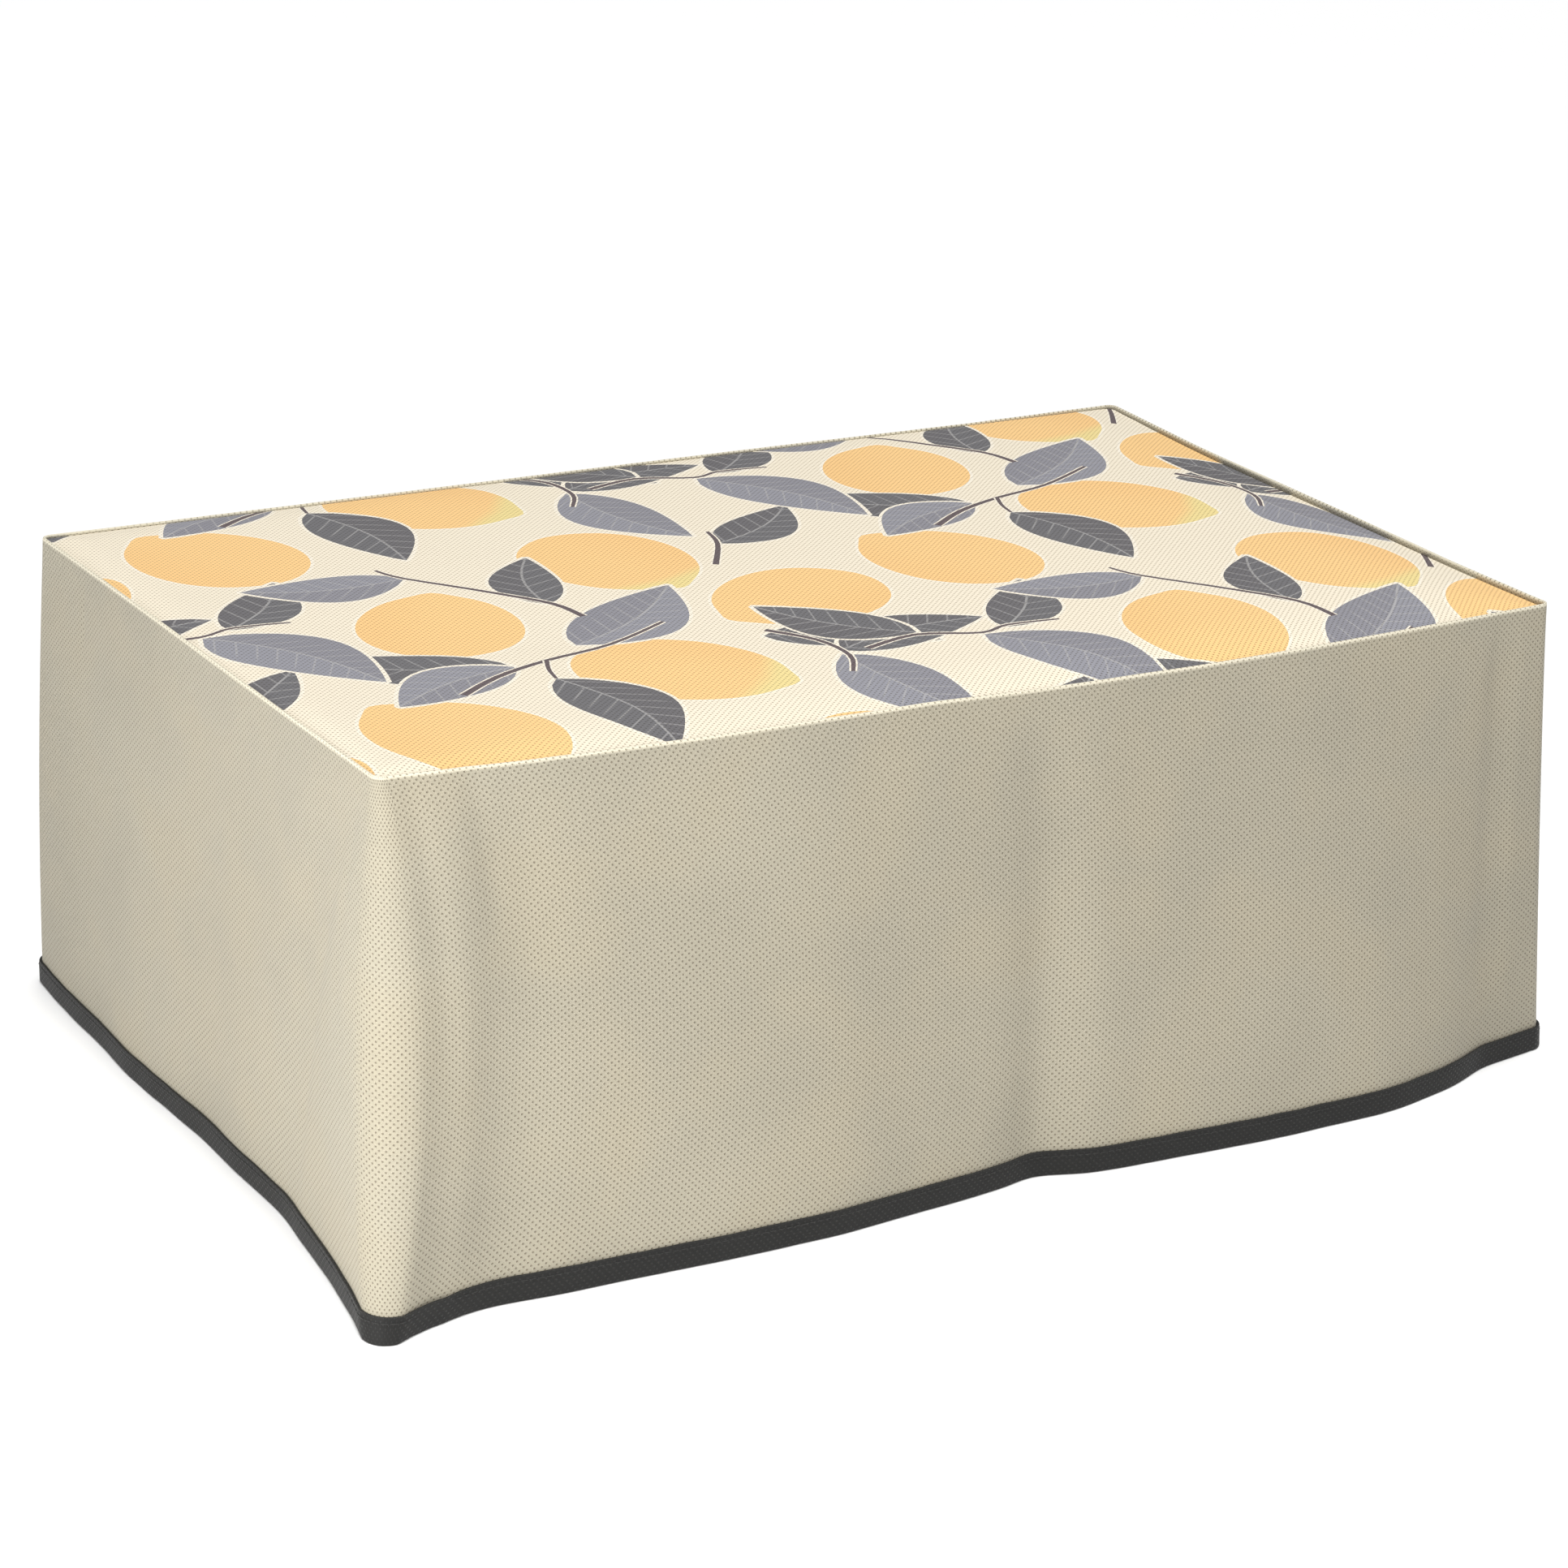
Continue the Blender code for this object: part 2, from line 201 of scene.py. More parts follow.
# Distance from a corner, or share down from the rim, over which waves and creases die out
WAVE_EASE = 8.0
WAVE_RIM_EASE = 0.08
CREASE_EASE = 3.0
RIM_WAVE_SIZE = 22.0
RIM_WAVE_DEPTH = 0.12

# Edges, folds and sewing
SHARP_ANGLE = 50.0
CREST_DROP = 0.55
# How far under the ridge's top the crest band reaches; the cloth over it is painted paler as a
# painted highlight of the top-lit crest
CREST_BAND = 1.6
# Crest of the ridge: how far across the fold, and how far under the top
CREST = ((0.0, 0.55), (0.16, 0.15), (0.5, 0.0), (0.84, 0.15), (1.0, 0.55))
LEG_CLEARANCE = 0.06
PANEL_TUCK = 0.72
BINDING_STRIP = 0.9
BINDING_LEAN = 0.1
# The binding's face and its turn under the hem: in from the face, up from the hem
BINDING_FACE = ((-0.05, 6.5), (0.0, 3.0))
BINDING_TURN = ((0.0, 0.9), (0.25, 0.25), (0.8, 0.0))
BINDING_WAVE_SIZE = 14.0
BINDING_WAVE_DEPTH = 0.22
BINDING_EDGE_WAVE = 0.25
# Where the binding's ends lap: start and end along the front, and how far it stands out
BINDING_OVERLAP = (7.0, 18.0, 0.35)
STITCH_INSET = 1.8
STITCH_LENGTHS = (0.88, 1.06)
SEAM_STEP = 3.0
SEAM_POINTS = 58
STITCH_SIDES = 6
STITCH_RINGS = ((-0.5, 0.45), (-0.4, 0.85), (0.0, 1.0), (0.4, 0.85), (0.5, 0.45))

# The top panel's mesh and its slight waves, which die out towards its edge
PANEL_GRID = 6.0
EDGE_INSETS = (2.0, 4.5, 8.0, 12.0)
PANEL_WAVE_SIZE = 55.0
PANEL_WAVE_DEPTH = 0.3
PANEL_CALM = 25.0
# Where the shoulder turns flatter: share of its width, share of its rise
SHOULDER_TURN = (0.35, 0.55)
LEMON_STEPS = 48
LEAF_STEPS = 14
HALO_WIDTH = 1.3
VEIN_SPACING = 0.0085

# Finish of the cloth
DOT_EDGE = 0.45
DOT_MIDDLE = 0.85
DOT_SHADE = (0.50, 0.47, 0.42, 1.0)
DOT_DEPTH = 0.00012
FIBRE_DEPTH = 0.00003
SHEEN = 0.12

# Light: name, place, target, width, power, tint
WORLD_COLOUR = (1.0, 1.0, 1.0)
WORLD_STRENGTH = 0.15
SUN_STRENGTH = 3.0
SUN_SPREAD = 25.0
LIGHT_ROWS = (
    ("left_light", (-0.8, -0.45, 0.02), (-0.15, -0.12, -0.09), 0.3, 5.0, (1.0, 0.99, 0.97)),
    ("front_light", (0.0, -0.85, 0.3), (-0.15, -0.12, -0.09), 0.5, 2.7, (1.0, 0.99, 0.97)),
)

# Camera at the photograph's angle
CAMERA_PLACE = (-0.7172, -1.2165, 0.44392)
CAMERA_RIGHT = (0.868123, -0.495275, 0.032648)
CAMERA_UP = (0.14868, 0.322237, 0.934911)
CAMERA_FORWARD = (0.473558, 0.806763, -0.353379)
CAMERA_LENS = 87.1116
CAMERA_SENSOR = 36.0


def side_length(side):
    """Nominal rim length of one side."""
    return WIDTH if side in ("front", "back") else DEPTH


def side_start(side):
    """The nominal corner where a side starts."""
    half_w = WIDTH / 2
    half_d = DEPTH / 2
    return {"front": (-half_w, -half_d), "right": (half_w, -half_d),
            "back": (half_w, half_d), "left": (-half_w, half_d)}[side]


def side_direction(side):
    """Unit direction in which a side runs."""
    return {"front": (1, 0), "right": (0, 1), "back": (-1, 0), "left": (0, -1)}[side]


def next_side(side):
    return SIDES[(SIDES.index(side) + 1) % len(SIDES)]


def corner_radius(side, share):
    """Plan radius of the corner at a side's start, at a share of the way down."""
    plain = RIM_RADIUS + (HEM_RADIUS - RIM_RADIUS) * share
    return plain + CORNER_SOFTNESS[side] * math.sin(math.pi * share) ** CORNER_FULLNESS


def side_table(rows, columns, side):
    """One side's rows, closed with the first row of the side after it."""
    own = [(row[1], row[2:]) for row in rows if row[0] == side]
    own.append((side_length(side), next(row for row in rows if row[0] == next_side(side))[2:]))
    return {name: [(along, values[i]) for along, values in own] for i, name in enumerate(columns)}


def slopes_through(points):
    """Slopes at the points of a smooth curve that never overshoots them."""
    steps = [(b[1] - a[1]) / (b[0] - a[0]) for a, b in zip(points, points[1:])]
    slopes = [steps[0]]
    for before, after in zip(steps, steps[1:]):
        same_way = before * after > 0
        slopes.append(2 * before * after / (before + after) if same_way else 0.0)
    slopes.append(steps[-1])
    return slopes


def read_curve(points, along):
    """The smooth curve through (along, value) points, read at one place."""
    slopes = slopes_through(points)
    index = max(i for i in range(len(points) - 1) if i == 0 or points[i][0] <= along)
    (x0, y0), (x1, y1) = points[index], points[index + 1]
    span = x1 - x0
    t = min(max((along - x0) / span, 0.0), 1.0)
    rise = (y1 - y0) * t * t * (3 - 2 * t)
    ease_in = slopes[index] * span * t * (1 - t) ** 2
    ease_out = slopes[index + 1] * span * t * t * (t - 1)
    return y0 + rise + ease_in + ease_out


def ramp(value, start, end):
    """Smooth step from 0 at start to 1 at end."""
    t = min(max((value - start) / (end - start), 0.0), 1.0)
    return t * t * (3 - 2 * t)


RIM_TABLES = {side: side_table(RIM_ROWS, RIM_COLUMNS, side) for side in SIDES}
HEM_TABLES = {side: side_table(HEM_ROWS, HEM_COLUMNS, side) for side in SIDES}


class Section:
    """One upright section of the cover: a place on the rim and how the cloth stands there."""

    def __init__(self, side, along, turn=None):
        self.side = side
        self.along = along
        self.turn = turn       # angle into the corner at this side's start, or None on a wall
        self.travel = 0.0      # way round the cover so far, for the cloth's own map
        self.rim = {name: read_curve(RIM_TABLES[side][name], along) for name in RIM_COLUMNS}
        self.hem = {name: read_curve(HEM_TABLES[side][name], along) for name in HEM_COLUMNS}
        self.rim_top = RIM_HEIGHT + self.rim["lift"]
        self.panel_top = self.rim_top - self.rim["stand"]
        self.out = self.outward()

    def outward(self):
        """Horizontal direction out of the wall."""
        x, y = side_direction(self.side)
        if self.turn is None:
            return (y, -x)
        back = math.pi / 2 - self.turn
        return (y * math.cos(back) - x * math.sin(back), -x * math.cos(back) - y * math.sin(back))

    def nominal(self, share):
        """Point of the plain rounded rectangle at a share of the way down."""
        (cx, cy), (dx, dy) = side_start(self.side), side_direction(self.side)
        length = side_length(self.side)
        radius = corner_radius(self.side, share)
        if self.turn is None:
            end_radius = corner_radius(next_side(self.side), share)
            reach = radius + self.along / length * (length - radius - end_radius)
            return (cx + dx * reach, cy + dy * reach)
        centre = (cx + (dx - dy) * radius, cy + (dy + dx) * radius)
        return (centre[0] + self.out[0] * radius, centre[1] + self.out[1] * radius)

    def fold_depth(self, share):
        """Soft troughs and ridges, read at a share of the way down."""
        if self.turn is not None:
            return 0.0
        depth = 0.0
        for side, top, bottom, half_width, near_rim, near_hem in FOLD_ROWS:
            if side != self.side:
                continue
            centre = top + (bottom - top) * share
            bell = math.exp(-((self.along - centre) / half_width) ** 2)
            depth += bell * (near_rim + (near_hem - near_rim) * share)
        to_corner = min(self.along, side_length(self.side) - self.along)
        return depth * min(share / RIM_EASE, 1.0) * min(to_corner / CORNER_EASE, 1.0)

    def crease_depth(self, share):
        """The small creases and the slight unevenness of the cloth."""
        if self.turn is not None:
            return 0.0
        depth = 0.0
        for side, along_0, share_0, along_1, share_1, half_width, deep in CREASE_ROWS:
            if side != self.side:
                continue
            way = (share - share_0) / (share_1 - share_0)
            ends = ramp(way, *CREASE_START) * (1 - ramp(way, *CREASE_END))
            across = (self.along - along_0 - (along_1 - along_0) * way) / half_width
            if ends > 0 and abs(across) < CREASE_REACH:
                depth += deep * ends * math.exp(-across * across)
        place = Vector((self.travel / WAVE_SIZE, share * WALL_HEIGHT / WAVE_SIZE, 3.7))
        wave = WAVE_DEPTH * noise.noise(place) + WAVE_DEPTH / 2 * noise.noise(place * 2.7)
        to_corner = min(self.along, side_length(self.side) - self.along)
        calm = min(share / WAVE_RIM_EASE, 1.0) * min(to_corner / WAVE_EASE, 1.0)
        return depth * min(to_corner / CREASE_EASE, 1.0) + wave * calm

    def wall_point(self, z, inset=0.0, creased=True):
        """A point of the wall at height z, so far in from its outer face."""
        share = min(max((self.rim_top - z) / (self.rim_top - HEM_HEIGHT), 0.0), 1.0)
        x, y = self.nominal(share)
        taper = math.sqrt(share) * BINDING_REACH
        bow = self.hem["bow"] * 4 * share * (1 - share)
        stand_out = self.fold_depth(share) + bow - taper - inset
        if creased:
            stand_out += self.crease_depth(share)
        x += self.rim["east"] * (1 - share) + self.hem["east"] * share + self.out[0] * stand_out
        y += self.rim["north"] * (1 - share) + self.hem["north"] * share + self.out[1] * stand_out
        return (x, y, z)


def make_sections():
    """Sections all the way round, each side led by its corner."""
    sections = []
    for side in SIDES:
        for step in range(1, CORNER_STEPS):
            turn = math.pi / 2 * step / CORNER_STEPS
            sections.append(Section(side, 0.0, turn))
        length = side_length(side)
        count = round(length / SPACING[side])
        places = [length * step / count for step in range(count + 1)]
        if side == "back":
            places = sorted(places + [BACK_SEAM + shift for shift in SEAM_COLUMNS])
        sections += [Section(side, along) for along in places]
    middles = [section.wall_point(HEM_HEIGHT / 2, creased=False) for section in sections]
    for before, after, a, b in zip(sections, sections[1:], middles, middles[1:]):
        after.travel = before.travel + math.dist(a, b)
    return sections


class ClothMesh:
    """Collects a cloth's points and faces, with each corner's place on the flat cloth."""

    def __init__(self):
        self.points = []
        self.faces = []
        self.places = []
        self.slots = []
        self.extra = {}

    def add_point(self, point):
        self.points.append([value * MM for value in point])
        return len(self.points) - 1

    def add_face(self, corners, places, slot=0):
        self.faces.append(corners)
        self.places += [(u * MM, v * MM) for u, v in places]
        self.slots.append(slot)

    def make_piece(self, name, materials):
        mesh = bpy.data.meshes.new(name)
        mesh.from_pydata(self.points, [], self.faces)
        flat = mesh.uv_layers.new(name="flat_cloth")
        flat.data.foreach_set("uv", [value for place in self.places for value in place])
        for attribute, values in self.extra.items():
            layer = mesh.attributes.new(attribute, "FLOAT_VECTOR", "CORNER")
            layer.data.foreach_set("vector", [value for row in values for value in row])
        for material in materials:
            mesh.materials.append(material)
        mesh.polygons.foreach_set("material_index", self.slots)
        turn_outwards(mesh)
        mesh.shade_smooth()
        mesh.set_sharp_from_angle(angle=math.radians(SHARP_ANGLE))
        mesh.validate()
        return add_object(name, mesh)


def add_object(name, data):
    """A new object in the scene."""
    added = bpy.data.objects.new(name, data)
    bpy.context.scene.collection.objects.link(added)
    return added


def turn_outwards(mesh):
    """Points all of a closed mesh's faces outwards."""
    bm = bmesh.new()
    bm.from_mesh(mesh)
    bmesh.ops.recalc_face_normals(bm, faces=bm.faces)
    bm.to_mesh(mesh)
    bm.free()


def sweep(sections, profile):
    """A closed outline carried all the way round the cover; a profile's points are
    (point, distance along the cloth)."""
    cloth = ClothMesh()
    rows = [profile(section) for section in sections]
    points = [[cloth.add_point(point) for point, _ in row] for row in rows]
    round_trip = sections[-1].travel + (sections[1].travel - sections[0].travel)
    painted_crest_light = []
    for index, row in enumerate(rows):
        after = (index + 1) % len(rows)
        u0 = sections[index].travel
        u1 = sections[after].travel if after else round_trip
        # Weights of the ridge crest's painted highlight at this row and the next
        crest_lit = crest_highlight(sections[index], row), crest_highlight(sections[after], rows[after])
        for i in range(len(row)):
            j = (i + 1) % len(row)
            v0 = row[i][1]
            v1 = row[j][1] if j else v0 + 1.0
            corners = (points[index][i], points[index][j], points[after][j], points[after][i])
            cloth.add_face(corners, ((u0, v0), (u0, v1), (u1, v1), (u1, v0)))
            painted_crest_light += [(crest_lit[0][i], 0, 0), (crest_lit[0][j], 0, 0), (crest_lit[1][j], 0, 0), (crest_lit[1][i], 0, 0)]
    cloth.extra = {"painted_crest_light": painted_crest_light}
    return cloth


def crest_highlight(section, row):
    """How strongly each point of an outline takes the crest's painted highlight: 1 on the ridge's
    crest, 0 a little under it.
    """
    top = section.rim_top
    return [ramp(point[2], top - CREST_BAND, top - CREST_DROP) for point, _ in row]


def rim_wave(section):
    """Slight rise and dip of the ridge's crest."""
    place = Vector((section.travel / RIM_WAVE_SIZE, 9.1, 0.0))
    return RIM_WAVE_DEPTH * noise.noise(place)


def skirt_profile(section):
    """The skirt's cloth: up the outside, over the ridge, down its inner leg, down the inside."""
    sizes = bpy.context.scene.cover_sizes
    thickness = sizes.cloth / MM
    fold = sizes.ridge / MM
    top = section.rim_top
    wave = rim_wave(section)
    end = HEM_HEIGHT + BINDING_REACH
    heights = [end + (top - CREST_BAND - end) * step / WALL_ROWS for step in range(WALL_ROWS)]
    row = [(section.wall_point(z), z) for z in heights]
    row.append((section.wall_point(top - CREST_BAND), top - CREST_BAND))
    for share, drop in CREST:
        row.append((section.wall_point(top - drop + wave, fold * share), top - drop + fold * share))
    leg_end = section.panel_top + LEG_CLEARANCE
    for share in (0.5, 1.0):
        z = top - CREST_DROP + (leg_end - top + CREST_DROP) * share
        row.append((section.wall_point(z, fold), 2 * top + fold - z))
    row.append((section.wall_point(leg_end, thickness), 2 * top + 2 * fold - leg_end))
    row += [(section.wall_point(z, thickness), 3 * top - z) for z in reversed(heights[:-1])]
    return row


def binding_profile(section):
    """The binding's strip, folded round the skirt's lower edge."""
    sizes = bpy.context.scene.cover_sizes
    skirt = sizes.cloth / MM
    place = Vector((section.travel / BINDING_WAVE_SIZE, 0.4, 6.2))
    puff = BINDING_WAVE_DEPTH * noise.noise(place)
    edge = BINDING_EDGE_WAVE * noise.noise(place * 1.7)
    if section.side == "front" and section.turn is None:
        start, end, step = BINDING_OVERLAP
        along = section.along
        puff += step * ramp(along, start, start + 1) * (1 - ramp(along, end, end + 1))
    outside = -BINDING_REACH - puff
    inside = skirt + BINDING_REACH - puff
    strip = BINDING_STRIP
    top = HEM_HEIGHT + BINDING_HEIGHT + edge
    corners = [(outside + BINDING_LEAN, top)]
    corners += [(outside + inset, HEM_HEIGHT + rise) for inset, rise in BINDING_FACE + BINDING_TURN]
    corners += [(inside - inset, HEM_HEIGHT + rise) for inset, rise in reversed(BINDING_TURN)]
    corners += [(inside, top), (inside - strip, top), (inside - strip, HEM_HEIGHT + strip),
                (outside + strip, HEM_HEIGHT + strip), (outside + strip + BINDING_LEAN, top)]
    row = []
    way = 0.0
    for index, (inset, z) in enumerate(corners):
        if index:
            way += math.dist((inset, z), corners[index - 1])
        row.append((section.wall_point(z, inset), way))
    return row


def panel_edge(section):
    """The top panel's sewn edge, tucked under the ridge's inner leg."""
    return section.wall_point(section.panel_top, PANEL_TUCK)


def panel_height(x, y):
    """Height of the top panel's upper face at a place in plan."""
    inset_x = WIDTH / 2 - abs(x)
    inset_y = DEPTH / 2 - abs(y)
    inset = max(min(inset_x, inset_y), 0.0)
    wave = PANEL_WAVE_DEPTH * noise.noise(Vector((x / PANEL_WAVE_SIZE, y / PANEL_WAVE_SIZE, 1.3)))
    wave *= ramp(inset, 0.0, PANEL_CALM)
    if inset >= FLAT_INSET:
        return PANEL_THICKNESS + wave
    out_x = x / (1 - inset / (WIDTH / 2))
    out_y = y / (1 - inset / (DEPTH / 2))
    if inset_y <= inset_x:
        side, along = ("front", out_x + WIDTH / 2) if y < 0 else ("back", WIDTH / 2 - out_x)
    else:
        side, along = ("right", out_y + DEPTH / 2) if x > 0 else ("left", DEPTH / 2 - out_y)
    rim = {name: read_curve(RIM_TABLES[side][name], along) for name in RIM_COLUMNS}
    edge = RIM_HEIGHT + rim["lift"] - rim["stand"]
    crest = PANEL_THICKNESS + rim["rise"]
    turn, turn_rise = SHOULDER_TURN
    levels = [(0.0, edge), (turn * rim["shoulder"], edge + (crest - edge) * turn_rise),
              (rim["shoulder"], crest), (EASE_INSET, PANEL_THICKNESS + rim["rise"] * EASE_SHARE),
              (FLAT_INSET, PANEL_THICKNESS)]
    return read_curve(levels, inset) + wave


# The print. It is a design of its own in a half-drop repeat; the numbers are millimetres on the
# cloth and degrees from the repeat's +X
REPEAT = (264.0, 224.0)
HALF_DROP = 112.0
REPEAT_START = (-250.0, -160.0)

# Lemons: x, y, heading of the tip, length, width, share of the tip that is green
LEMON_ROWS = (
    (48, 36, 115, 84, 64, 0.0),
    (150, 70, -40, 86, 66, 1.0),
    (232, 128, 200, 82, 63, 0.0),
    (92, 150, 70, 80, 62, 0.0),
    (186, 196, -75, 84, 66, 1.0),
)

# Leaves: x and y of the stalk, heading, length, width, bend, tone (0 dark, 1 pale)
LEAF_ROWS = (
    (96, 96, 150, 78, 36, 8, 0),
    (96, 96, 205, 62, 33, -5, 1),
    (104, 78, -82, 74, 38, 6, 0),
    (128, 110, 38, 82, 42, -6, 1),
    (196, 92, -28, 66, 32, 6, 0),
    (20, 176, 52, 60, 30, -5, 0),
    (8, 172, -62, 84, 42, 7, 1),
    (-14, 184, 128, 66, 34, 5, 0),
    (212, 62, -75, 76, 40, -6, 1),
    (214, 66, 10, 70, 34, 6, 0),
    (236, 200, 35, 62, 31, -5, 0),
    (140, 158, 72, 58, 29, 5, 0),
    (104, 208, 172, 64, 33, 6, 1),
)

# Twigs: places along them, then the width at the start and at the end
TWIG_ROWS = (
    (((66, 74), (86, 88), (110, 98), (140, 106), (170, 122)), 3.0, 1.6),
    (((110, 98), (106, 88), (104, 78)), 1.8, 1.3),
    (((-40, 176), (-16, 182), (8, 174), (22, 178), (44, 176)), 2.6, 1.4),
    (((200, 98), (212, 80), (214, 60), (206, 44)), 2.8, 1.5),
    (((146, 140), (142, 158), (126, 180), (104, 208), (98, 222)), 2.8, 1.5),
    (((222, 176), (236, 200), (240, 216)), 2.6, 1.5),
)

GROUND, HALO, LEMON, LEAF, TWIG = range(5)


def lemon_outline(length, width, grow):
    """An oval with a blunt tip at one end, in the lemon's own directions."""
    ring = []
    for step in range(LEMON_STEPS):
        angle = 2 * math.pi * step / LEMON_STEPS
        tip = math.exp(-(math.remainder(angle, 2 * math.pi) / 0.24) ** 2)
        heel = math.exp(-(math.remainder(angle - math.pi, 2 * math.pi) / 0.3) ** 2)
        along = math.cos(angle) * (length * 0.46 * (1 + 0.09 * tip + 0.02 * heel) + grow)
        across = math.sin(angle) * (width / 2 * (1 - 0.07 * math.cos(angle)) + grow)
        ring.append((along, across))
    return ring


def leaf_outline(length, width, bend, grow):
    """A pointed leaf on a bent midrib, from its stalk, in the leaf's own directions."""
    upper, lower = [], []
    for step in range(LEAF_STEPS + 1):
        t = step / LEAF_STEPS
        spread = width / 2 * math.sin(math.pi * t ** 0.85) ** 0.9 * (1 - 0.12 * t) + grow
        middle = bend * math.sin(math.pi * t)
        along = t * (length + 2 * grow) - grow
        upper.append((along, middle + spread))
        lower.append((along, middle - spread))
    if grow:
        return upper + lower[::-1]
    return upper + lower[-2:0:-1]


def twig_outline(points, first, last, grow):
    """A tapering stroke along a twig's points."""
    left, right = [], []
    for i, (x, y) in enumerate(points):
        before = points[max(i - 1, 0)]
        after = points[min(i + 1, len(points) - 1)]
        size = math.dist(before, after)
        half = (first + (last - first) * i / (len(points) - 1)) / 2 + grow
        dx, dy = (after[0] - before[0]) / size * half, (after[1] - before[1]) / size * half
        left.append((x - dy, y + dx))
        right.append((x + dy, y - dx))
    return left + right[::-1]


def smooth_path(points):
    """Four points for each step of a path, on a curve through them."""
    path = []
    ends = [points[0]] + list(points) + [points[-1]]
    for a, b, c, d in zip(ends, ends[1:], ends[2:], ends[3:]):
        for step in range(4):
            t = step / 4
            path.append(tuple(
                0.5 * (2 * q + (r - p) * t + (2 * p - 5 * q + 4 * r - s) * t * t
                       + (3 * q - p - 3 * r + s) * t ** 3) for p, q, r, s in zip(a, b, c, d)))
    path.append(points[-1])
    return path


def anticlockwise(ring):
    """The ring, turned round if it runs clockwise."""
    area = sum(a[0] * b[1] - b[0] * a[1] for a, b in zip(ring, ring[1:] + ring[:1]))
    return ring if area > 0 else ring[::-1]


class Motif:
    """One printed shape: its outline in plan and how its inside is drawn."""

    def __init__(self, kind, ring, x, y, heading, bend=0.0, length=1.0, tone=0.0):
        self.kind = kind
        self.turn = math.radians(heading)
        self.x, self.y = x, y
        self.bend, self.length, self.tone = bend, length, tone
        cos, sin = math.cos(self.turn), math.sin(self.turn)
        ring = anticlockwise(ring)
        self.ring = [(x + a * cos - b * sin, y + a * sin + b * cos) for a, b in ring]

    def read(self, x, y):
        """(along, across, kind) of a place in plan; across is measured from the bent midrib."""
        cos, sin = math.cos(self.turn), math.sin(self.turn)
        dx, dy = x - self.x, y - self.y
        along, across = dx * cos + dy * sin, dy * cos - dx * sin
        if self.bend:
            across -= self.bend * math.sin(math.pi * min(max(along / self.length, 0.0), 1.0))
        return (along * MM, across * MM, self.kind)

    def on_panel(self):
        """Whether any point of its outline lies on the panel."""
        return any(abs(x) < WIDTH / 2 and abs(y) < DEPTH / 2 for x, y in self.ring)


def print_motifs():
    """Every motif of the print, the lowest first."""
    shifts = [(REPEAT_START[0] + column * REPEAT[0],
               REPEAT_START[1] + row * REPEAT[1] + (column % 2) * HALF_DROP)
              for column in range(-2, 3) for row in range(-3, 3)]
    motifs = []
    for east, north in shifts:
        for x, y, heading, length, width, green in LEMON_ROWS:
            for kind, grow in ((HALO, HALO_WIDTH), (LEMON, 0.0)):
                ring = lemon_outline(length, width, grow)
                motifs.append(Motif(kind, ring, x + east, y + north, heading, tone=green))
    for east, north in shifts:
        for x, y, heading, length, width, bend, tone in LEAF_ROWS:
            for kind, grow in ((HALO, HALO_WIDTH), (LEAF, 0.0)):
                ring = leaf_outline(length, width, bend, grow)
                motifs.append(Motif(kind, ring, x + east, y + north, heading, bend, length, tone))
    for east, north in shifts:
        for points, first, last in TWIG_ROWS:
            path = smooth_path(points)
            for kind, grow in ((HALO, HALO_WIDTH / 2), (TWIG, 0.0)):
                ring = twig_outline(path, first, last, grow)
                motifs.append(Motif(kind, ring, east, north, 0))
    return [motif for motif in motifs if motif.on_panel()]


def print_sheet(edge):
    """The panel cut up along the print's outlines: plan points, triangles and their motifs."""
    motifs = print_motifs()
    points = [Vector(place) for place in edge]
    faces = [list(range(len(points)))]
    for motif in motifs:
        faces.append(list(range(len(points), len(points) + len(motif.ring))))
        points += [Vector(place) for place in motif.ring]
    rows = int(DEPTH / PANEL_GRID)
    columns = int(WIDTH / PANEL_GRID)
    for row in range(rows):
        for column in range(columns):
            x = -WIDTH / 2 + (column + 0.5 + 0.5 * (row % 2)) * PANEL_GRID
            y = -DEPTH / 2 + (row + 0.5) * PANEL_GRID
            if min(WIDTH / 2 - abs(x), DEPTH / 2 - abs(y)) > PANEL_GRID:
                points.append(Vector((x, y)))
    for inset in EDGE_INSETS:
        scale_x, scale_y = 1 - inset * 2 / WIDTH, 1 - inset * 2 / DEPTH
        points += [Vector((x * scale_x, y * scale_y)) for x, y in edge]
    flat, _, triangles, _, _, sources = geometry.delaunay_2d_cdt(points, [], faces, 0, 1e-5)
    kept = []
    for triangle, source in zip(triangles, sources):
        if 0 in source:
            kept.append((triangle, motifs[max(source) - 1] if max(source) else None))
    return flat, kept


def make_printed_top(sections, materials):
    """The top panel's two faces and its edge."""
    edge = [panel_edge(section)[:2] for section in sections]
    flat, triangles = print_sheet(edge)
    cloth = ClothMesh()
    used = sorted({index for triangle, _ in triangles for index in triangle})
    upper, lower = {}, {}
    for index in used:
        x, y = flat[index]
        z = panel_height(x, y)
        upper[index] = cloth.add_point((x, y, z))
        lower[index] = cloth.add_point((x, y, z - PANEL_THICKNESS))
    motif_rows, drawn_rows = [], []
    sides = {}
    for triangle, motif in triangles:
        places = [tuple(flat[index]) for index in triangle]
        for side, slot in ((upper, 0), (lower, 1)):
            cloth.add_face([side[index] for index in triangle], places, slot)
            for x, y in places:
                motif_rows.append(motif.read(x, y) if motif else (0.0, 0.0, GROUND))
                drawn_rows.append((motif.tone if motif else 0.0, 0.0, 0.0))
        for a, b in zip(triangle, triangle[1:] + triangle[:1]):
            sides[(a, b)] = sides.get((a, b), 0) + 1
    for a, b in sides:
        if (b, a) not in sides:
            places = [tuple(flat[a]), tuple(flat[b])]
            cloth.add_face((upper[a], upper[b], lower[b], lower[a]), places + places[::-1], 1)
            motif_rows += [(0.0, 0.0, GROUND)] * 4
            drawn_rows += [(0.0, 0.0, 0.0)] * 4
    cloth.extra = {"motif": motif_rows, "drawn": drawn_rows}
    return cloth.make_piece("printed_top", materials)


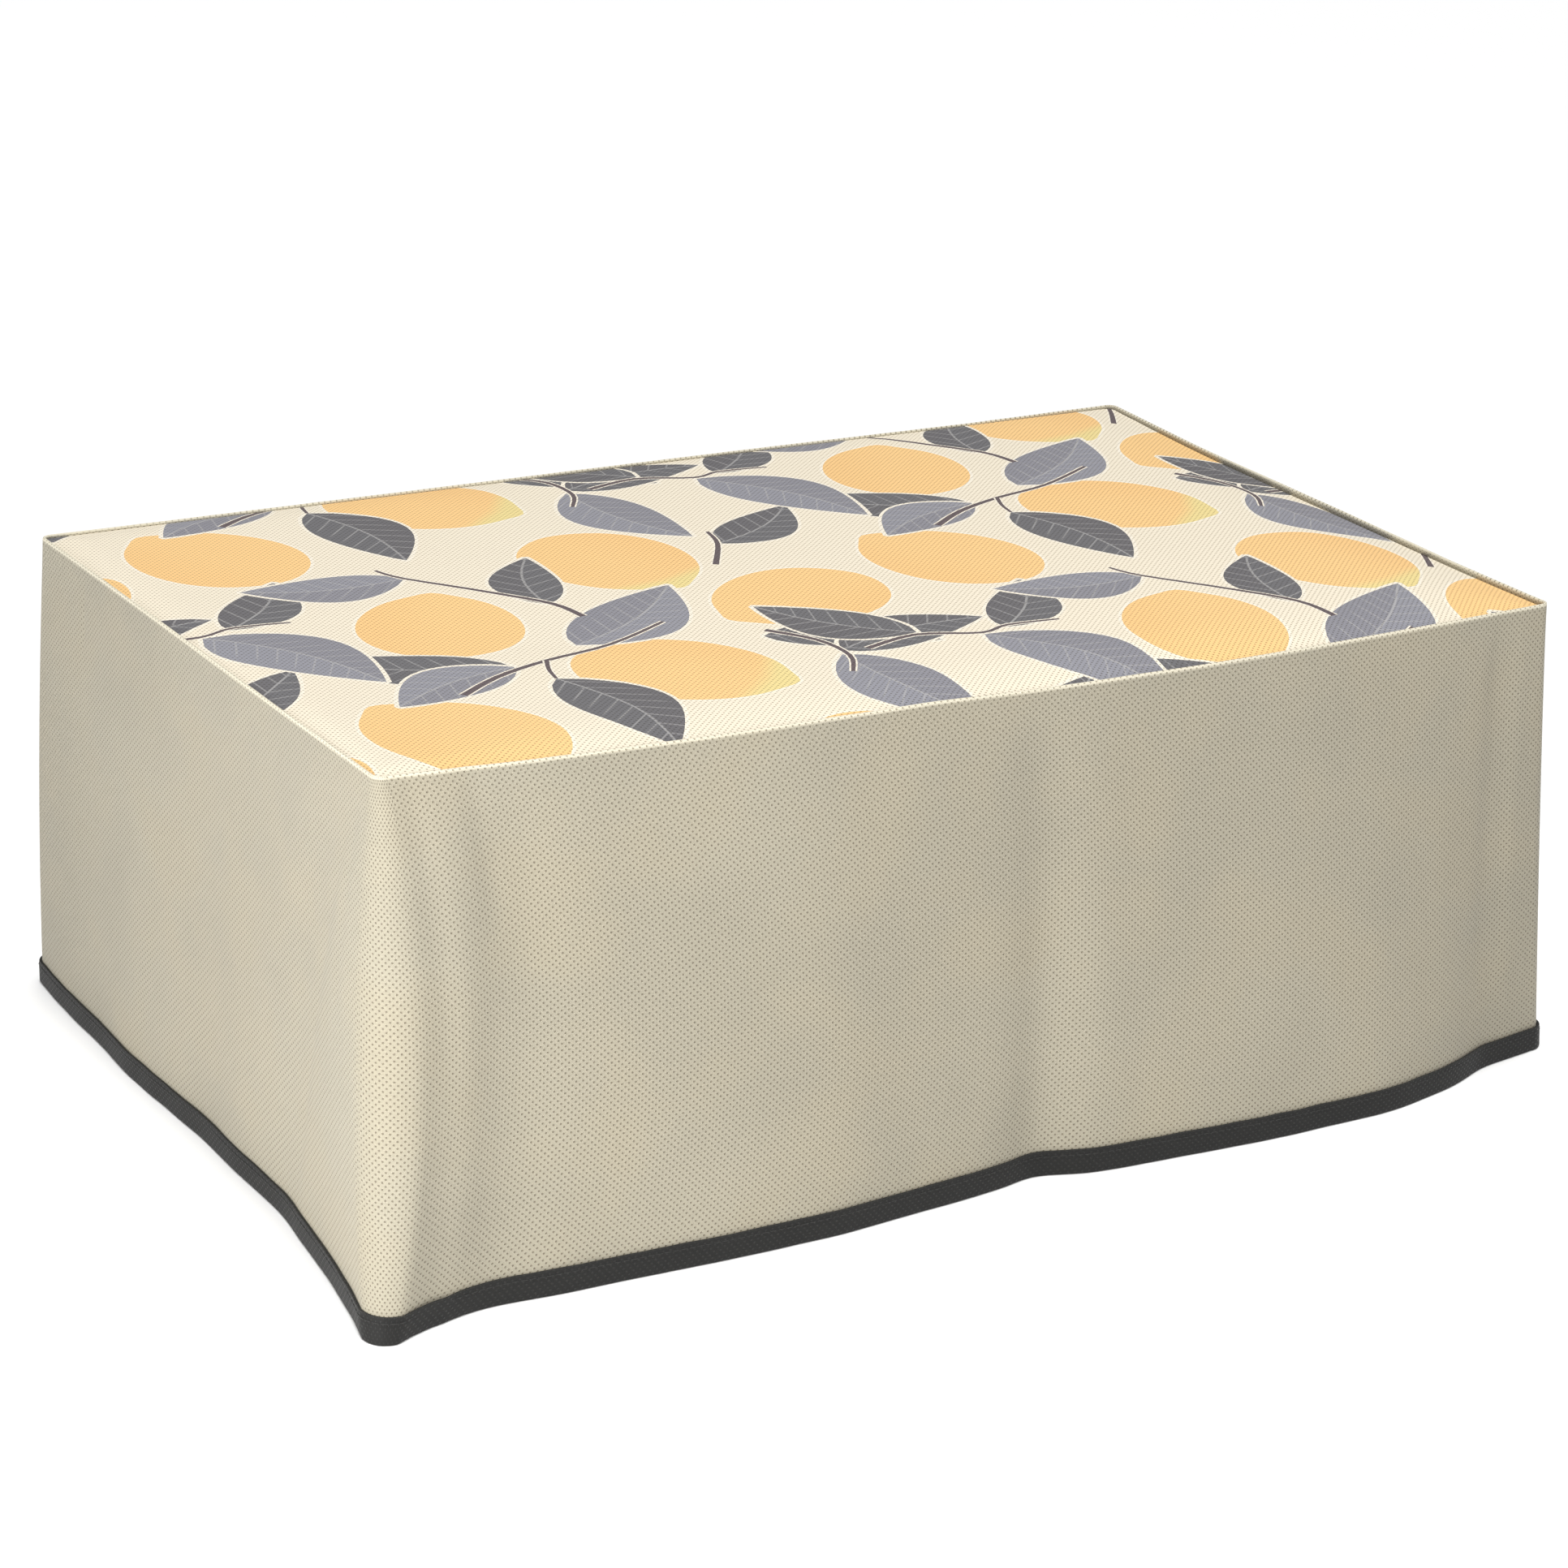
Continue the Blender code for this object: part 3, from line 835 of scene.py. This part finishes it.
class Reading:
    """One output of a material's node, on which sums are written as sums."""

    def __init__(self, finish, socket):
        self.finish = finish
        self.socket = socket

    def math(self, operation, *others):
        return self.finish.math(operation, self, *others)

    def __add__(self, other):
        return self.math("ADD", other)

    def __sub__(self, other):
        return self.math("SUBTRACT", other)

    def __mul__(self, other):
        return self.math("MULTIPLY", other)

    def __truediv__(self, other):
        return self.math("DIVIDE", other)

    def __radd__(self, other):
        return self.math("ADD", other)

    def __rmul__(self, other):
        return self.math("MULTIPLY", other)

    def __rsub__(self, other):
        return self.finish.math("SUBTRACT", other, self)


class Finish:
    """A material made of nodes, with its shader on a plain output."""

    def __init__(self, name):
        self.material = bpy.data.materials.new(name)
        self.material.use_nodes = True
        self.tree = self.material.node_tree
        self.shader = self.tree.nodes["Principled BSDF"]

    def node(self, kind, settings=None, sockets=None, output=0):
        """Any node: its type, its settings and its sockets' values by name or number."""
        node = self.tree.nodes.new(kind)
        for name, value in (settings or {}).items():
            setattr(node, name, value)
        for name, value in (sockets or {}).items():
            self.feed(node.inputs[name], value)
        return Reading(self, node.outputs[output])

    def feed(self, socket, value):
        if isinstance(value, Reading):
            self.tree.links.new(value.socket, socket)
        else:
            socket.default_value = value

    def math(self, operation, *values):
        return self.node("ShaderNodeMath", {"operation": operation}, dict(enumerate(values)))

    def soft_step(self, value, low, high):
        """0 below low and 1 above high, with a smooth change between."""
        sockets = dict(enumerate((value, low, high, 0.0, 1.0)))
        return self.node("ShaderNodeMapRange", {"interpolation_type": "SMOOTHSTEP"}, sockets)

    def colour(self, factor, first, second, blend="MIX"):
        settings = {"data_type": "RGBA", "blend_type": blend}
        return self.node("ShaderNodeMix", settings, {0: factor, 6: first, 7: second}, 2)

    def flat_place(self):
        """The place on the flat cloth, in metres, as two numbers."""
        place = self.node("ShaderNodeUVMap", {"uv_map": "flat_cloth"})
        split = self.node("ShaderNodeSeparateXYZ", None, {0: place}).socket.node
        return Reading(self, split.outputs[0]), Reading(self, split.outputs[1])

    def body_place(self):
        return self.node("ShaderNodeTexCoord", None, None, 3)

    def cloud(self, size, detail=2.0, roughness=0.5):
        """Soft random patches of about that size in metres, from 0 to 1."""
        sockets = {"Vector": self.body_place(), "Scale": 1.0 / size, "Detail": detail,
                   "Roughness": roughness}
        return self.node("ShaderNodeTexNoise", {"noise_dimensions": "3D"}, sockets)

    def split_attribute(self, name):
        whole = self.node("ShaderNodeAttribute", {"attribute_name": name}, None, 1)
        split = self.node("ShaderNodeSeparateXYZ", None, {0: whole}).socket.node
        return [Reading(self, output) for output in split.outputs]

    def emboss(self, pitch):
        """The cloth's welded dots in staggered rows: 1 in a dot's middle, below 0 between."""
        u, v = self.flat_place()
        across = (u * (2 * math.pi / pitch[0])).math("COSINE")
        up = (v * (2 * math.pi / pitch[1])).math("COSINE")
        return across * up

    def raise_surface(self, height):
        """Bump from a height in metres."""
        sockets = {"Strength": 1.0, "Distance": 1.0, "Height": height}
        self.feed(self.shader.inputs["Normal"], self.node("ShaderNodeBump", None, sockets))

    def finish(self, colour, roughness, sheen=0.0):
        self.feed(self.shader.inputs["Base Color"], colour)
        self.feed(self.shader.inputs["Roughness"], roughness)
        self.shader.inputs["Sheen Weight"].default_value = sheen
        self.shader.inputs["Sheen Roughness"].default_value = 0.6
        self.shader.inputs["Specular IOR Level"].default_value = 0.35
        return self.material


def rgba(colour, factor=1.0):
    return tuple(value * factor for value in colour[:3]) + (1.0,)


def spunbond(finish, ground, dot_depth):
    """Emboss, fibres and mottling on a ground colour. Returns the colour and the dots."""
    sizes = bpy.context.scene.cover_sizes
    weave = finish.emboss((sizes.emboss_across, sizes.emboss_up))
    dots = finish.soft_step(weave, DOT_EDGE, DOT_MIDDLE)
    rims = finish.soft_step(weave, DOT_EDGE - 0.45, DOT_EDGE) - dots
    fibres = finish.cloud(0.0009, 3.0, 0.7)
    height = dots * (-dot_depth) + rims * (dot_depth * 0.3) + fibres * FIBRE_DEPTH
    finish.raise_surface(height)
    hollow = finish.colour(1.0, ground, DOT_SHADE, "MULTIPLY")
    shaded = finish.colour(dots, ground, hollow)
    fine = 0.93 + 0.14 * fibres
    tint = finish.node("ShaderNodeCombineColor", None, {0: fine, 1: fine, 2: fine})
    return finish.colour(1.0, shaded, tint, "MULTIPLY"), dots


def cream_cloth():
    """Plain cream spunbond, slightly warmer and cooler in soft patches. Its cream is partly painted
    shade of the upright walls, and the ridge's crest is painted paler as a painted highlight.
    """
    colours = bpy.context.scene.cover_colours
    finish = Finish("cream_spunbond")
    patches = finish.soft_step(finish.cloud(0.09), 0.35, 0.65)
    ground = finish.colour(patches, rgba(colours.cream, 0.96), rgba(colours.cream, 1.04))
    warm = finish.soft_step(finish.cloud(0.045), 0.4, 0.7)
    ground = finish.colour(warm * 0.5, ground, rgba(colours.cream_warm))
    # Painted highlight: the ridge's crest is painted paler, standing in for the light on the top of
    # the fold
    crest_lit, _, _ = finish.split_attribute("painted_crest_light")
    ground = finish.colour(crest_lit * 0.85, ground, rgba(colours.painted_crest_cream))
    colour, dots = spunbond(finish, ground, DOT_DEPTH)
    return finish.finish(colour, 0.78 - 0.22 * dots, SHEEN)


def printed_cloth():
    """The print on the top panel's upper face."""
    colours = bpy.context.scene.cover_colours
    finish = Finish("printed_spunbond")
    along, across, kind = finish.split_attribute("motif")
    tone, _, _ = finish.split_attribute("drawn")

    def is_kind(number):
        return kind.math("COMPARE", float(number), 0.4)

    side = across.math("ABSOLUTE")
    # Lemon: a little deeper along one side, and a green tip on some
    deeper = finish.soft_step(across, -0.004, 0.030) * 0.35
    lemon = finish.colour(deeper, rgba(colours.lemon), rgba(colours.lemon_deep))
    green = finish.soft_step(along + 0.15 * side, 0.026, 0.036) * tone
    lemon = finish.colour(green * 0.8, lemon, rgba(colours.lemon_tip))
    # Leaf: midrib, side veins bent towards the tip, one half a little darker
    midrib = 1.0 - finish.soft_step(side, 0.00025, 0.0007)
    steps = (along - side * 0.75) / VEIN_SPACING
    vein = (steps.math("FRACT") - 0.5).math("ABSOLUTE")
    lines = 1.0 - finish.soft_step(vein, 0.025, 0.075)
    veins = lines * (1.0 - finish.soft_step(side, 0.010, 0.017))
    ribs = midrib.math("MAXIMUM", veins * 0.75)
    leaf = finish.colour(tone, rgba(colours.leaf_dark), rgba(colours.leaf_pale))
    half = finish.soft_step(across, -0.0006, 0.0006)
    leaf = finish.colour(half * 0.14, leaf, rgba(colours.twig, 0.6))
    leaf = finish.colour(ribs * 0.55, leaf, rgba(colours.vein))
    twig = finish.colour(finish.cloud(0.004) * 0.4, rgba(colours.twig), rgba(colours.leaf_dark))

    ground = finish.colour(is_kind(HALO) * 0.7, rgba(colours.ground), rgba(colours.halo))
    ground = finish.colour(is_kind(LEMON), ground, lemon)
    ground = finish.colour(is_kind(LEAF), ground, leaf)
    ground = finish.colour(is_kind(TWIG), ground, twig)
    colour, dots = spunbond(finish, ground, DOT_DEPTH * 0.8)
    return finish.finish(colour, 0.8 - 0.2 * dots, SHEEN)


def print_reverse():
    """The top panel's underside: plain cloth on which the print barely shows through."""
    colours = bpy.context.scene.cover_colours
    finish = Finish("print_reverse")
    _, _, kind = finish.split_attribute("motif")
    shows = finish.soft_step(kind, 1.4, 1.6) * 0.18
    ground = finish.colour(shows, rgba(colours.ground, 0.94), rgba(colours.leaf_pale))
    colour, dots = spunbond(finish, ground, DOT_DEPTH)
    return finish.finish(colour, 0.8 - 0.2 * dots, SHEEN)


def black_cloth():
    """The binding: black spunbond whose dots catch a little light."""
    colours = bpy.context.scene.cover_colours
    finish = Finish("black_spunbond")
    patches = finish.cloud(0.012, 3.0)
    ground = finish.colour(patches, rgba(colours.binding, 0.8), rgba(colours.binding, 1.5))
    sizes = bpy.context.scene.cover_sizes
    weave = finish.emboss((sizes.emboss_across, sizes.emboss_up))
    dots = finish.soft_step(weave, 0.35, 0.85)
    fibres = finish.cloud(0.0008, 3.0, 0.7)
    finish.raise_surface(dots * (-DOT_DEPTH) + fibres * FIBRE_DEPTH)
    colour = finish.colour(dots * 0.5, ground, rgba(colours.binding, 2.6))
    return finish.finish(colour, 0.72 - 0.3 * dots, 0.05)


def thread(name, colour):
    """Sewing thread, slightly uneven in colour along its lay."""
    finish = Finish(name)
    twist = finish.cloud(0.0006, 1.0)
    return finish.finish(finish.colour(twist, rgba(colour, 0.7), rgba(colour, 1.3)), 0.65, 0.1)


# The stitches' geometry nodes: the tree's sockets, its nodes by name, and its links as
# (from node, output, to node, input)
STITCH_SOCKETS = (
    ("Path", "INPUT", "Geometry"), ("Stitch", "INPUT", "Object"), ("Pitch", "INPUT", "Float"),
    ("Length", "INPUT", "Float"), ("Thread Radius", "INPUT", "Float"),
    ("Thread", "INPUT", "Material"), ("Seed", "INPUT", "Int"), ("Stitches", "OUTPUT", "Geometry"),
)
STITCH_NODES = {
    "start": "NodeGroupInput", "end": "NodeGroupOutput",
    "curve": "GeometryNodeMeshToCurve", "spaced": "GeometryNodeResampleCurve",
    "tangent": "GeometryNodeInputTangent", "turn": "FunctionNodeAlignRotationToVector",
    "shape": "GeometryNodeObjectInfo", "size": "ShaderNodeCombineXYZ",
    "uneven": "FunctionNodeRandomValue", "length": "ShaderNodeMath",
    "place": "GeometryNodeInstanceOnPoints", "real": "GeometryNodeRealizeInstances",
    "coloured": "GeometryNodeSetMaterial",
}
STITCH_LINKS = (
    ("start", "Path", "curve", "Mesh"), ("curve", "Curve", "spaced", "Curve"),
    ("start", "Pitch", "spaced", "Length"), ("tangent", "Tangent", "turn", "Vector"),
    ("start", "Stitch", "shape", "Object"), ("start", "Seed", "uneven", "Seed"),
    ("start", "Length", "length", 0), ("uneven", 1, "length", 1), ("length", 0, "size", "X"),
    ("start", "Thread Radius", "size", "Y"), ("start", "Thread Radius", "size", "Z"),
    ("spaced", "Curve", "place", "Points"), ("shape", "Geometry", "place", "Instance"),
    ("turn", "Rotation", "place", "Rotation"), ("size", "Vector", "place", "Scale"),
    ("place", "Instances", "real", "Geometry"), ("real", "Geometry", "coloured", "Geometry"),
    ("start", "Thread", "coloured", "Material"), ("coloured", "Geometry", "end", "Stitches"),
)


def stitch_shape():
    """One stitch: a short rounded bar along its own X, of length and radius 1 until it is sized."""
    bm = bmesh.new()
    rows = []
    for along, size in STITCH_RINGS:
        ring = []
        for step in range(STITCH_SIDES):
            angle = 2 * math.pi * step / STITCH_SIDES
            ring.append(bm.verts.new((along, math.cos(angle) * size, math.sin(angle) * size)))
        rows.append(ring)
    for first, second in zip(rows, rows[1:]):
        for i in range(STITCH_SIDES):
            j = (i + 1) % STITCH_SIDES
            bm.faces.new((first[i], first[j], second[j], second[i]))
    bm.faces.new(rows[0][::-1])
    bm.faces.new(rows[-1])
    bmesh.ops.recalc_face_normals(bm, faces=bm.faces)
    mesh = bpy.data.meshes.new("stitch_shape")
    bm.to_mesh(mesh)
    bm.free()
    return add_object("stitch_shape", mesh)


def stitch_tree():
    """Geometry nodes that lay stitches end to end along a path."""
    tree = bpy.data.node_groups.new("stitch_row", "GeometryNodeTree")
    inputs = {}
    for name, way, kind in STITCH_SOCKETS:
        socket = tree.interface.new_socket(name, in_out=way, socket_type="NodeSocket" + kind)
        inputs[name] = socket.identifier
    nodes = {name: tree.nodes.new(kind) for name, kind in STITCH_NODES.items()}
    nodes["spaced"].mode = "LENGTH"
    nodes["turn"].axis = "X"
    nodes["length"].operation = "MULTIPLY"
    for number, share in zip((2, 3), STITCH_LENGTHS):
        nodes["uneven"].inputs[number].default_value = share
    for source, output, target, entry in STITCH_LINKS:
        tree.links.new(nodes[source].outputs[output], nodes[target].inputs[entry])
    return tree, inputs


def sew(name, path, closed, material, seed):
    """A row of stitches along a path of points in millimetres, as a plain mesh."""
    sizes = bpy.context.scene.cover_sizes
    mesh = bpy.data.meshes.new(name)
    edges = [(i, i + 1) for i in range(len(path) - 1)] + ([(len(path) - 1, 0)] if closed else [])
    mesh.from_pydata([[value * MM for value in point] for point in path], edges, [])
    row = add_object(name, mesh)
    shape = stitch_shape()
    tree, inputs = stitch_tree()
    nodes = row.modifiers.new("stitches", "NODES")
    nodes.node_group = tree
    settings = {"Stitch": shape, "Pitch": sizes.stitch_pitch, "Length": sizes.stitch_length,
                "Thread Radius": sizes.thread / 2, "Thread": material, "Seed": seed}
    for key, value in settings.items():
        nodes[inputs[key]] = value
    depsgraph = bpy.context.evaluated_depsgraph_get()
    sewn = bpy.data.meshes.new_from_object(row.evaluated_get(depsgraph))
    row.modifiers.remove(nodes)
    row.data = sewn
    sewn.name = name
    sewn.shade_smooth()
    bpy.data.meshes.remove(mesh)
    bpy.data.objects.remove(shape)
    bpy.data.node_groups.remove(tree)
    return row


def size_property(name, description, value):
    return bpy.props.FloatProperty(
        name=name, description=description, default=value, unit="LENGTH", precision=5)


def colour_property(name, description, value):
    return bpy.props.FloatVectorProperty(
        name=name, description=description, default=value, subtype="COLOR", min=0.0, max=1.0)


class CoverSizes(bpy.types.PropertyGroup):
    """Sizes of the cloth, the sewing and the floor, in metres."""

    cloth: size_property("Cloth", "Thickness of the skirt's cloth", 0.0006)
    ridge: size_property("Ridge", "Width of the fold that stands round the top", 0.0013)
    emboss_across: size_property("Emboss across", "Distance between dots along the cloth", 0.0026)
    emboss_up: size_property("Emboss up", "Distance between every second row of dots", 0.0024)
    stitch_pitch: size_property("Stitch pitch", "Distance from one stitch to the next", 0.0032)
    stitch_length: size_property("Stitch length", "Length of one stitch", 0.0026)
    thread: size_property("Thread", "Thickness of the sewing thread", 0.0003)
    floor: size_property("Floor", "Width of the pale floor", 16.0)


class CoverColours(bpy.types.PropertyGroup):
    """Colours of the cloth, the print and the floor."""

    # The skirt's cream sits well below the printed ground's: partly the cloth's own colour, partly
    # painted shade of the upright walls
    cream: colour_property("Cream", "Ground colour of the skirt's cloth", (0.355, 0.326, 0.252))
    # Painted highlight colour of the ridge's crest
    painted_crest_cream: colour_property("Folded edge", "Cloth along the ridge", (0.72, 0.67, 0.53))
    cream_warm: colour_property("Warm cream", "The skirt's warmer patches", (0.375, 0.333, 0.243))
    ground: colour_property("Print ground", "Ground of the printed cloth", (0.81, 0.73, 0.58))
    halo: colour_property("Print outline", "Pale line round each printed motif", (0.87, 0.81, 0.69))
    lemon: colour_property("Lemon", "Main colour of a lemon", (0.87, 0.56, 0.23))
    lemon_deep: colour_property("Deep lemon", "Colour of a lemon's deeper side", (0.84, 0.50, 0.19))
    lemon_tip: colour_property("Lemon tip", "Colour of a lemon's unripe tip", (0.76, 0.66, 0.28))
    leaf_dark: colour_property("Dark leaf", "Colour of the dark leaves", (0.125, 0.122, 0.130))
    leaf_pale: colour_property("Pale leaf", "Colour of the pale leaves", (0.26, 0.26, 0.295))
    vein: colour_property("Vein", "Colour of the leaves' veins", (0.45, 0.44, 0.43))
    twig: colour_property("Twig", "Colour of the twigs", (0.10, 0.065, 0.07))
    binding: colour_property("Binding", "Colour of the hem's binding", (0.0045, 0.0045, 0.004))
    thread_black: colour_property("Black thread", "Thread of the binding", (0.014, 0.014, 0.013))
    thread_cream: colour_property("Cream thread", "Thread of the back seam", (0.60, 0.55, 0.43))
    floor: colour_property("Floor", "Colour of the pale floor", (0.93, 0.93, 0.93))


def floor_material():
    """Pale matt floor with the faintest unevenness."""
    colours = bpy.context.scene.cover_colours
    finish = Finish("pale_floor")
    grain = finish.cloud(0.4)
    colour = finish.colour(grain, rgba(colours.floor, 0.995), rgba(colours.floor))
    return finish.finish(colour, 0.9)


def area_light(name, place, target, width, power, tint):
    """A square soft light turned to its target."""
    lamp = bpy.data.lights.new(name, "AREA")
    lamp.shape = "SQUARE"
    lamp.size = width
    lamp.energy = power
    lamp.color = tint
    light = add_object(name, lamp)
    light.location = place
    aim = Vector(target) - Vector(place)
    light.rotation_euler = aim.to_track_quat("-Z", "Y").to_euler()
    light.visible_camera = False


class COVER_OT_stage(bpy.types.Operator):
    """Make the pale floor, the soft lights and the camera at the photograph's angle"""

    bl_idname = "printer_cover.stage"
    bl_label = "Stage"

    def execute(self, context):
        scene = context.scene
        half = scene.cover_sizes.floor / 2
        mesh = bpy.data.meshes.new("pale_floor")
        square = ((-half, -half), (half, -half), (half, half), (-half, half))
        mesh.from_pydata([(x, y, HEM_HEIGHT * MM) for x, y in square], [], [(0, 1, 2, 3)])
        mesh.materials.append(floor_material())
        floor = add_object("pale_floor", mesh)

        world = bpy.data.worlds.new("soft_studio")
        world.use_nodes = True
        background = world.node_tree.nodes["Background"]
        background.inputs["Color"].default_value = (*WORLD_COLOUR, 1.0)
        background.inputs["Strength"].default_value = WORLD_STRENGTH
        scene.world = world
        for row in LIGHT_ROWS:
            area_light(*row)
        lamp = bpy.data.lights.new("ceiling_light", "SUN")
        lamp.energy = SUN_STRENGTH
        lamp.angle = math.radians(SUN_SPREAD)
        add_object("ceiling_light", lamp)

        lens = bpy.data.cameras.new("photo_view")
        lens.sensor_width = CAMERA_SENSOR
        lens.lens = CAMERA_LENS
        camera = add_object("photo_view", lens)
        columns = (CAMERA_RIGHT, CAMERA_UP, [-value for value in CAMERA_FORWARD])
        turn = Matrix(columns).transposed().to_4x4()
        camera.matrix_world = Matrix.Translation(CAMERA_PLACE) @ turn
        scene.camera = camera
        scene.view_settings.view_transform = "Standard"
        return {"FINISHED"}


class COVER_OT_skirt(bpy.types.Operator):
    """Make the cream skirt, whose upper edge is folded into the ridge round the top"""

    bl_idname = "printer_cover.skirt"
    bl_label = "Skirt"

    def execute(self, context):
        piece = sweep(make_sections(), skirt_profile).make_piece("cream_skirt", [cream_cloth()])
        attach(piece, "root")
        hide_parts("skirt")
        return {"FINISHED"}


class COVER_OT_top(bpy.types.Operator):
    """Make the printed top panel"""

    bl_idname = "printer_cover.top"
    bl_label = "Printed top"

    def execute(self, context):
        piece = make_printed_top(make_sections(), [printed_cloth(), print_reverse()])
        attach(piece, "root")
        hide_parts("top_panel")
        return {"FINISHED"}


class COVER_OT_binding(bpy.types.Operator):
    """Make the black binding folded round the hem"""

    bl_idname = "printer_cover.binding"
    bl_label = "Hem binding"

    def execute(self, context):
        piece = sweep(make_sections(), binding_profile).make_piece("bound_hem", [black_cloth()])
        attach(piece, "root")
        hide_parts("hem_binding")
        return {"FINISHED"}


class COVER_OT_stitches(bpy.types.Operator):
    """Sew the rows of stitches along the binding and up the back seam"""

    bl_idname = "printer_cover.stitches"
    bl_label = "Stitches"

    def execute(self, context):
        colours = context.scene.cover_colours
        sections = make_sections()
        radius = context.scene.cover_sizes.thread / 2 / MM
        hem_z = HEM_HEIGHT + BINDING_HEIGHT - STITCH_INSET
        path = [section.wall_point(hem_z, -BINDING_REACH - radius * 0.6) for section in sections]
        black = thread("black_thread", colours.thread_black)
        hem = sew("binding_stitches", path, True, black, 3)
        seam = Section("back", BACK_SEAM)
        start = HEM_HEIGHT + BINDING_HEIGHT + SEAM_STEP
        heights = [start + SEAM_STEP * step for step in range(SEAM_POINTS)]
        path = [seam.wall_point(z, -radius * 0.5) for z in heights]
        cream = thread("cream_thread", colours.thread_cream)
        back = sew("back_seam_stitches", path, False, cream, 8)
        for piece, slot in ((hem, "black_binding"), (back, "cream_cloth")):
            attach(piece, "root")
        return {"FINISHED"}


class COVER_PT_sidebar(bpy.types.Panel):
    """The cover's sizes, colours and pieces"""

    bl_idname = "COVER_PT_sidebar"
    bl_label = "Printer cover"
    bl_space_type = "VIEW_3D"
    bl_region_type = "UI"
    bl_category = "Printer cover"

    def draw(self, context):
        for group in (context.scene.cover_sizes, context.scene.cover_colours):
            for name in group.__annotations__:
                self.layout.prop(group, name)
        for operator in OPERATORS:
            self.layout.operator(operator.bl_idname)


OPERATORS = (COVER_OT_stage, COVER_OT_skirt, COVER_OT_top, COVER_OT_binding, COVER_OT_stitches)
CLASSES = (CoverSizes, CoverColours) + OPERATORS + (COVER_PT_sidebar,)


def register():
    for cls in CLASSES:
        bpy.utils.register_class(cls)
    bpy.types.Scene.cover_sizes = bpy.props.PointerProperty(type=CoverSizes)
    bpy.types.Scene.cover_colours = bpy.props.PointerProperty(type=CoverColours)


def unregister():
    del bpy.types.Scene.cover_colours
    del bpy.types.Scene.cover_sizes
    for cls in reversed(CLASSES):
        bpy.utils.unregister_class(cls)


def main():
    register()
    bpy.ops.printer_cover.stage()
    bpy.ops.printer_cover.skirt()
    bpy.ops.printer_cover.top()
    bpy.ops.printer_cover.binding()
    bpy.ops.printer_cover.stitches()


if __name__ == "__main__":
    main()
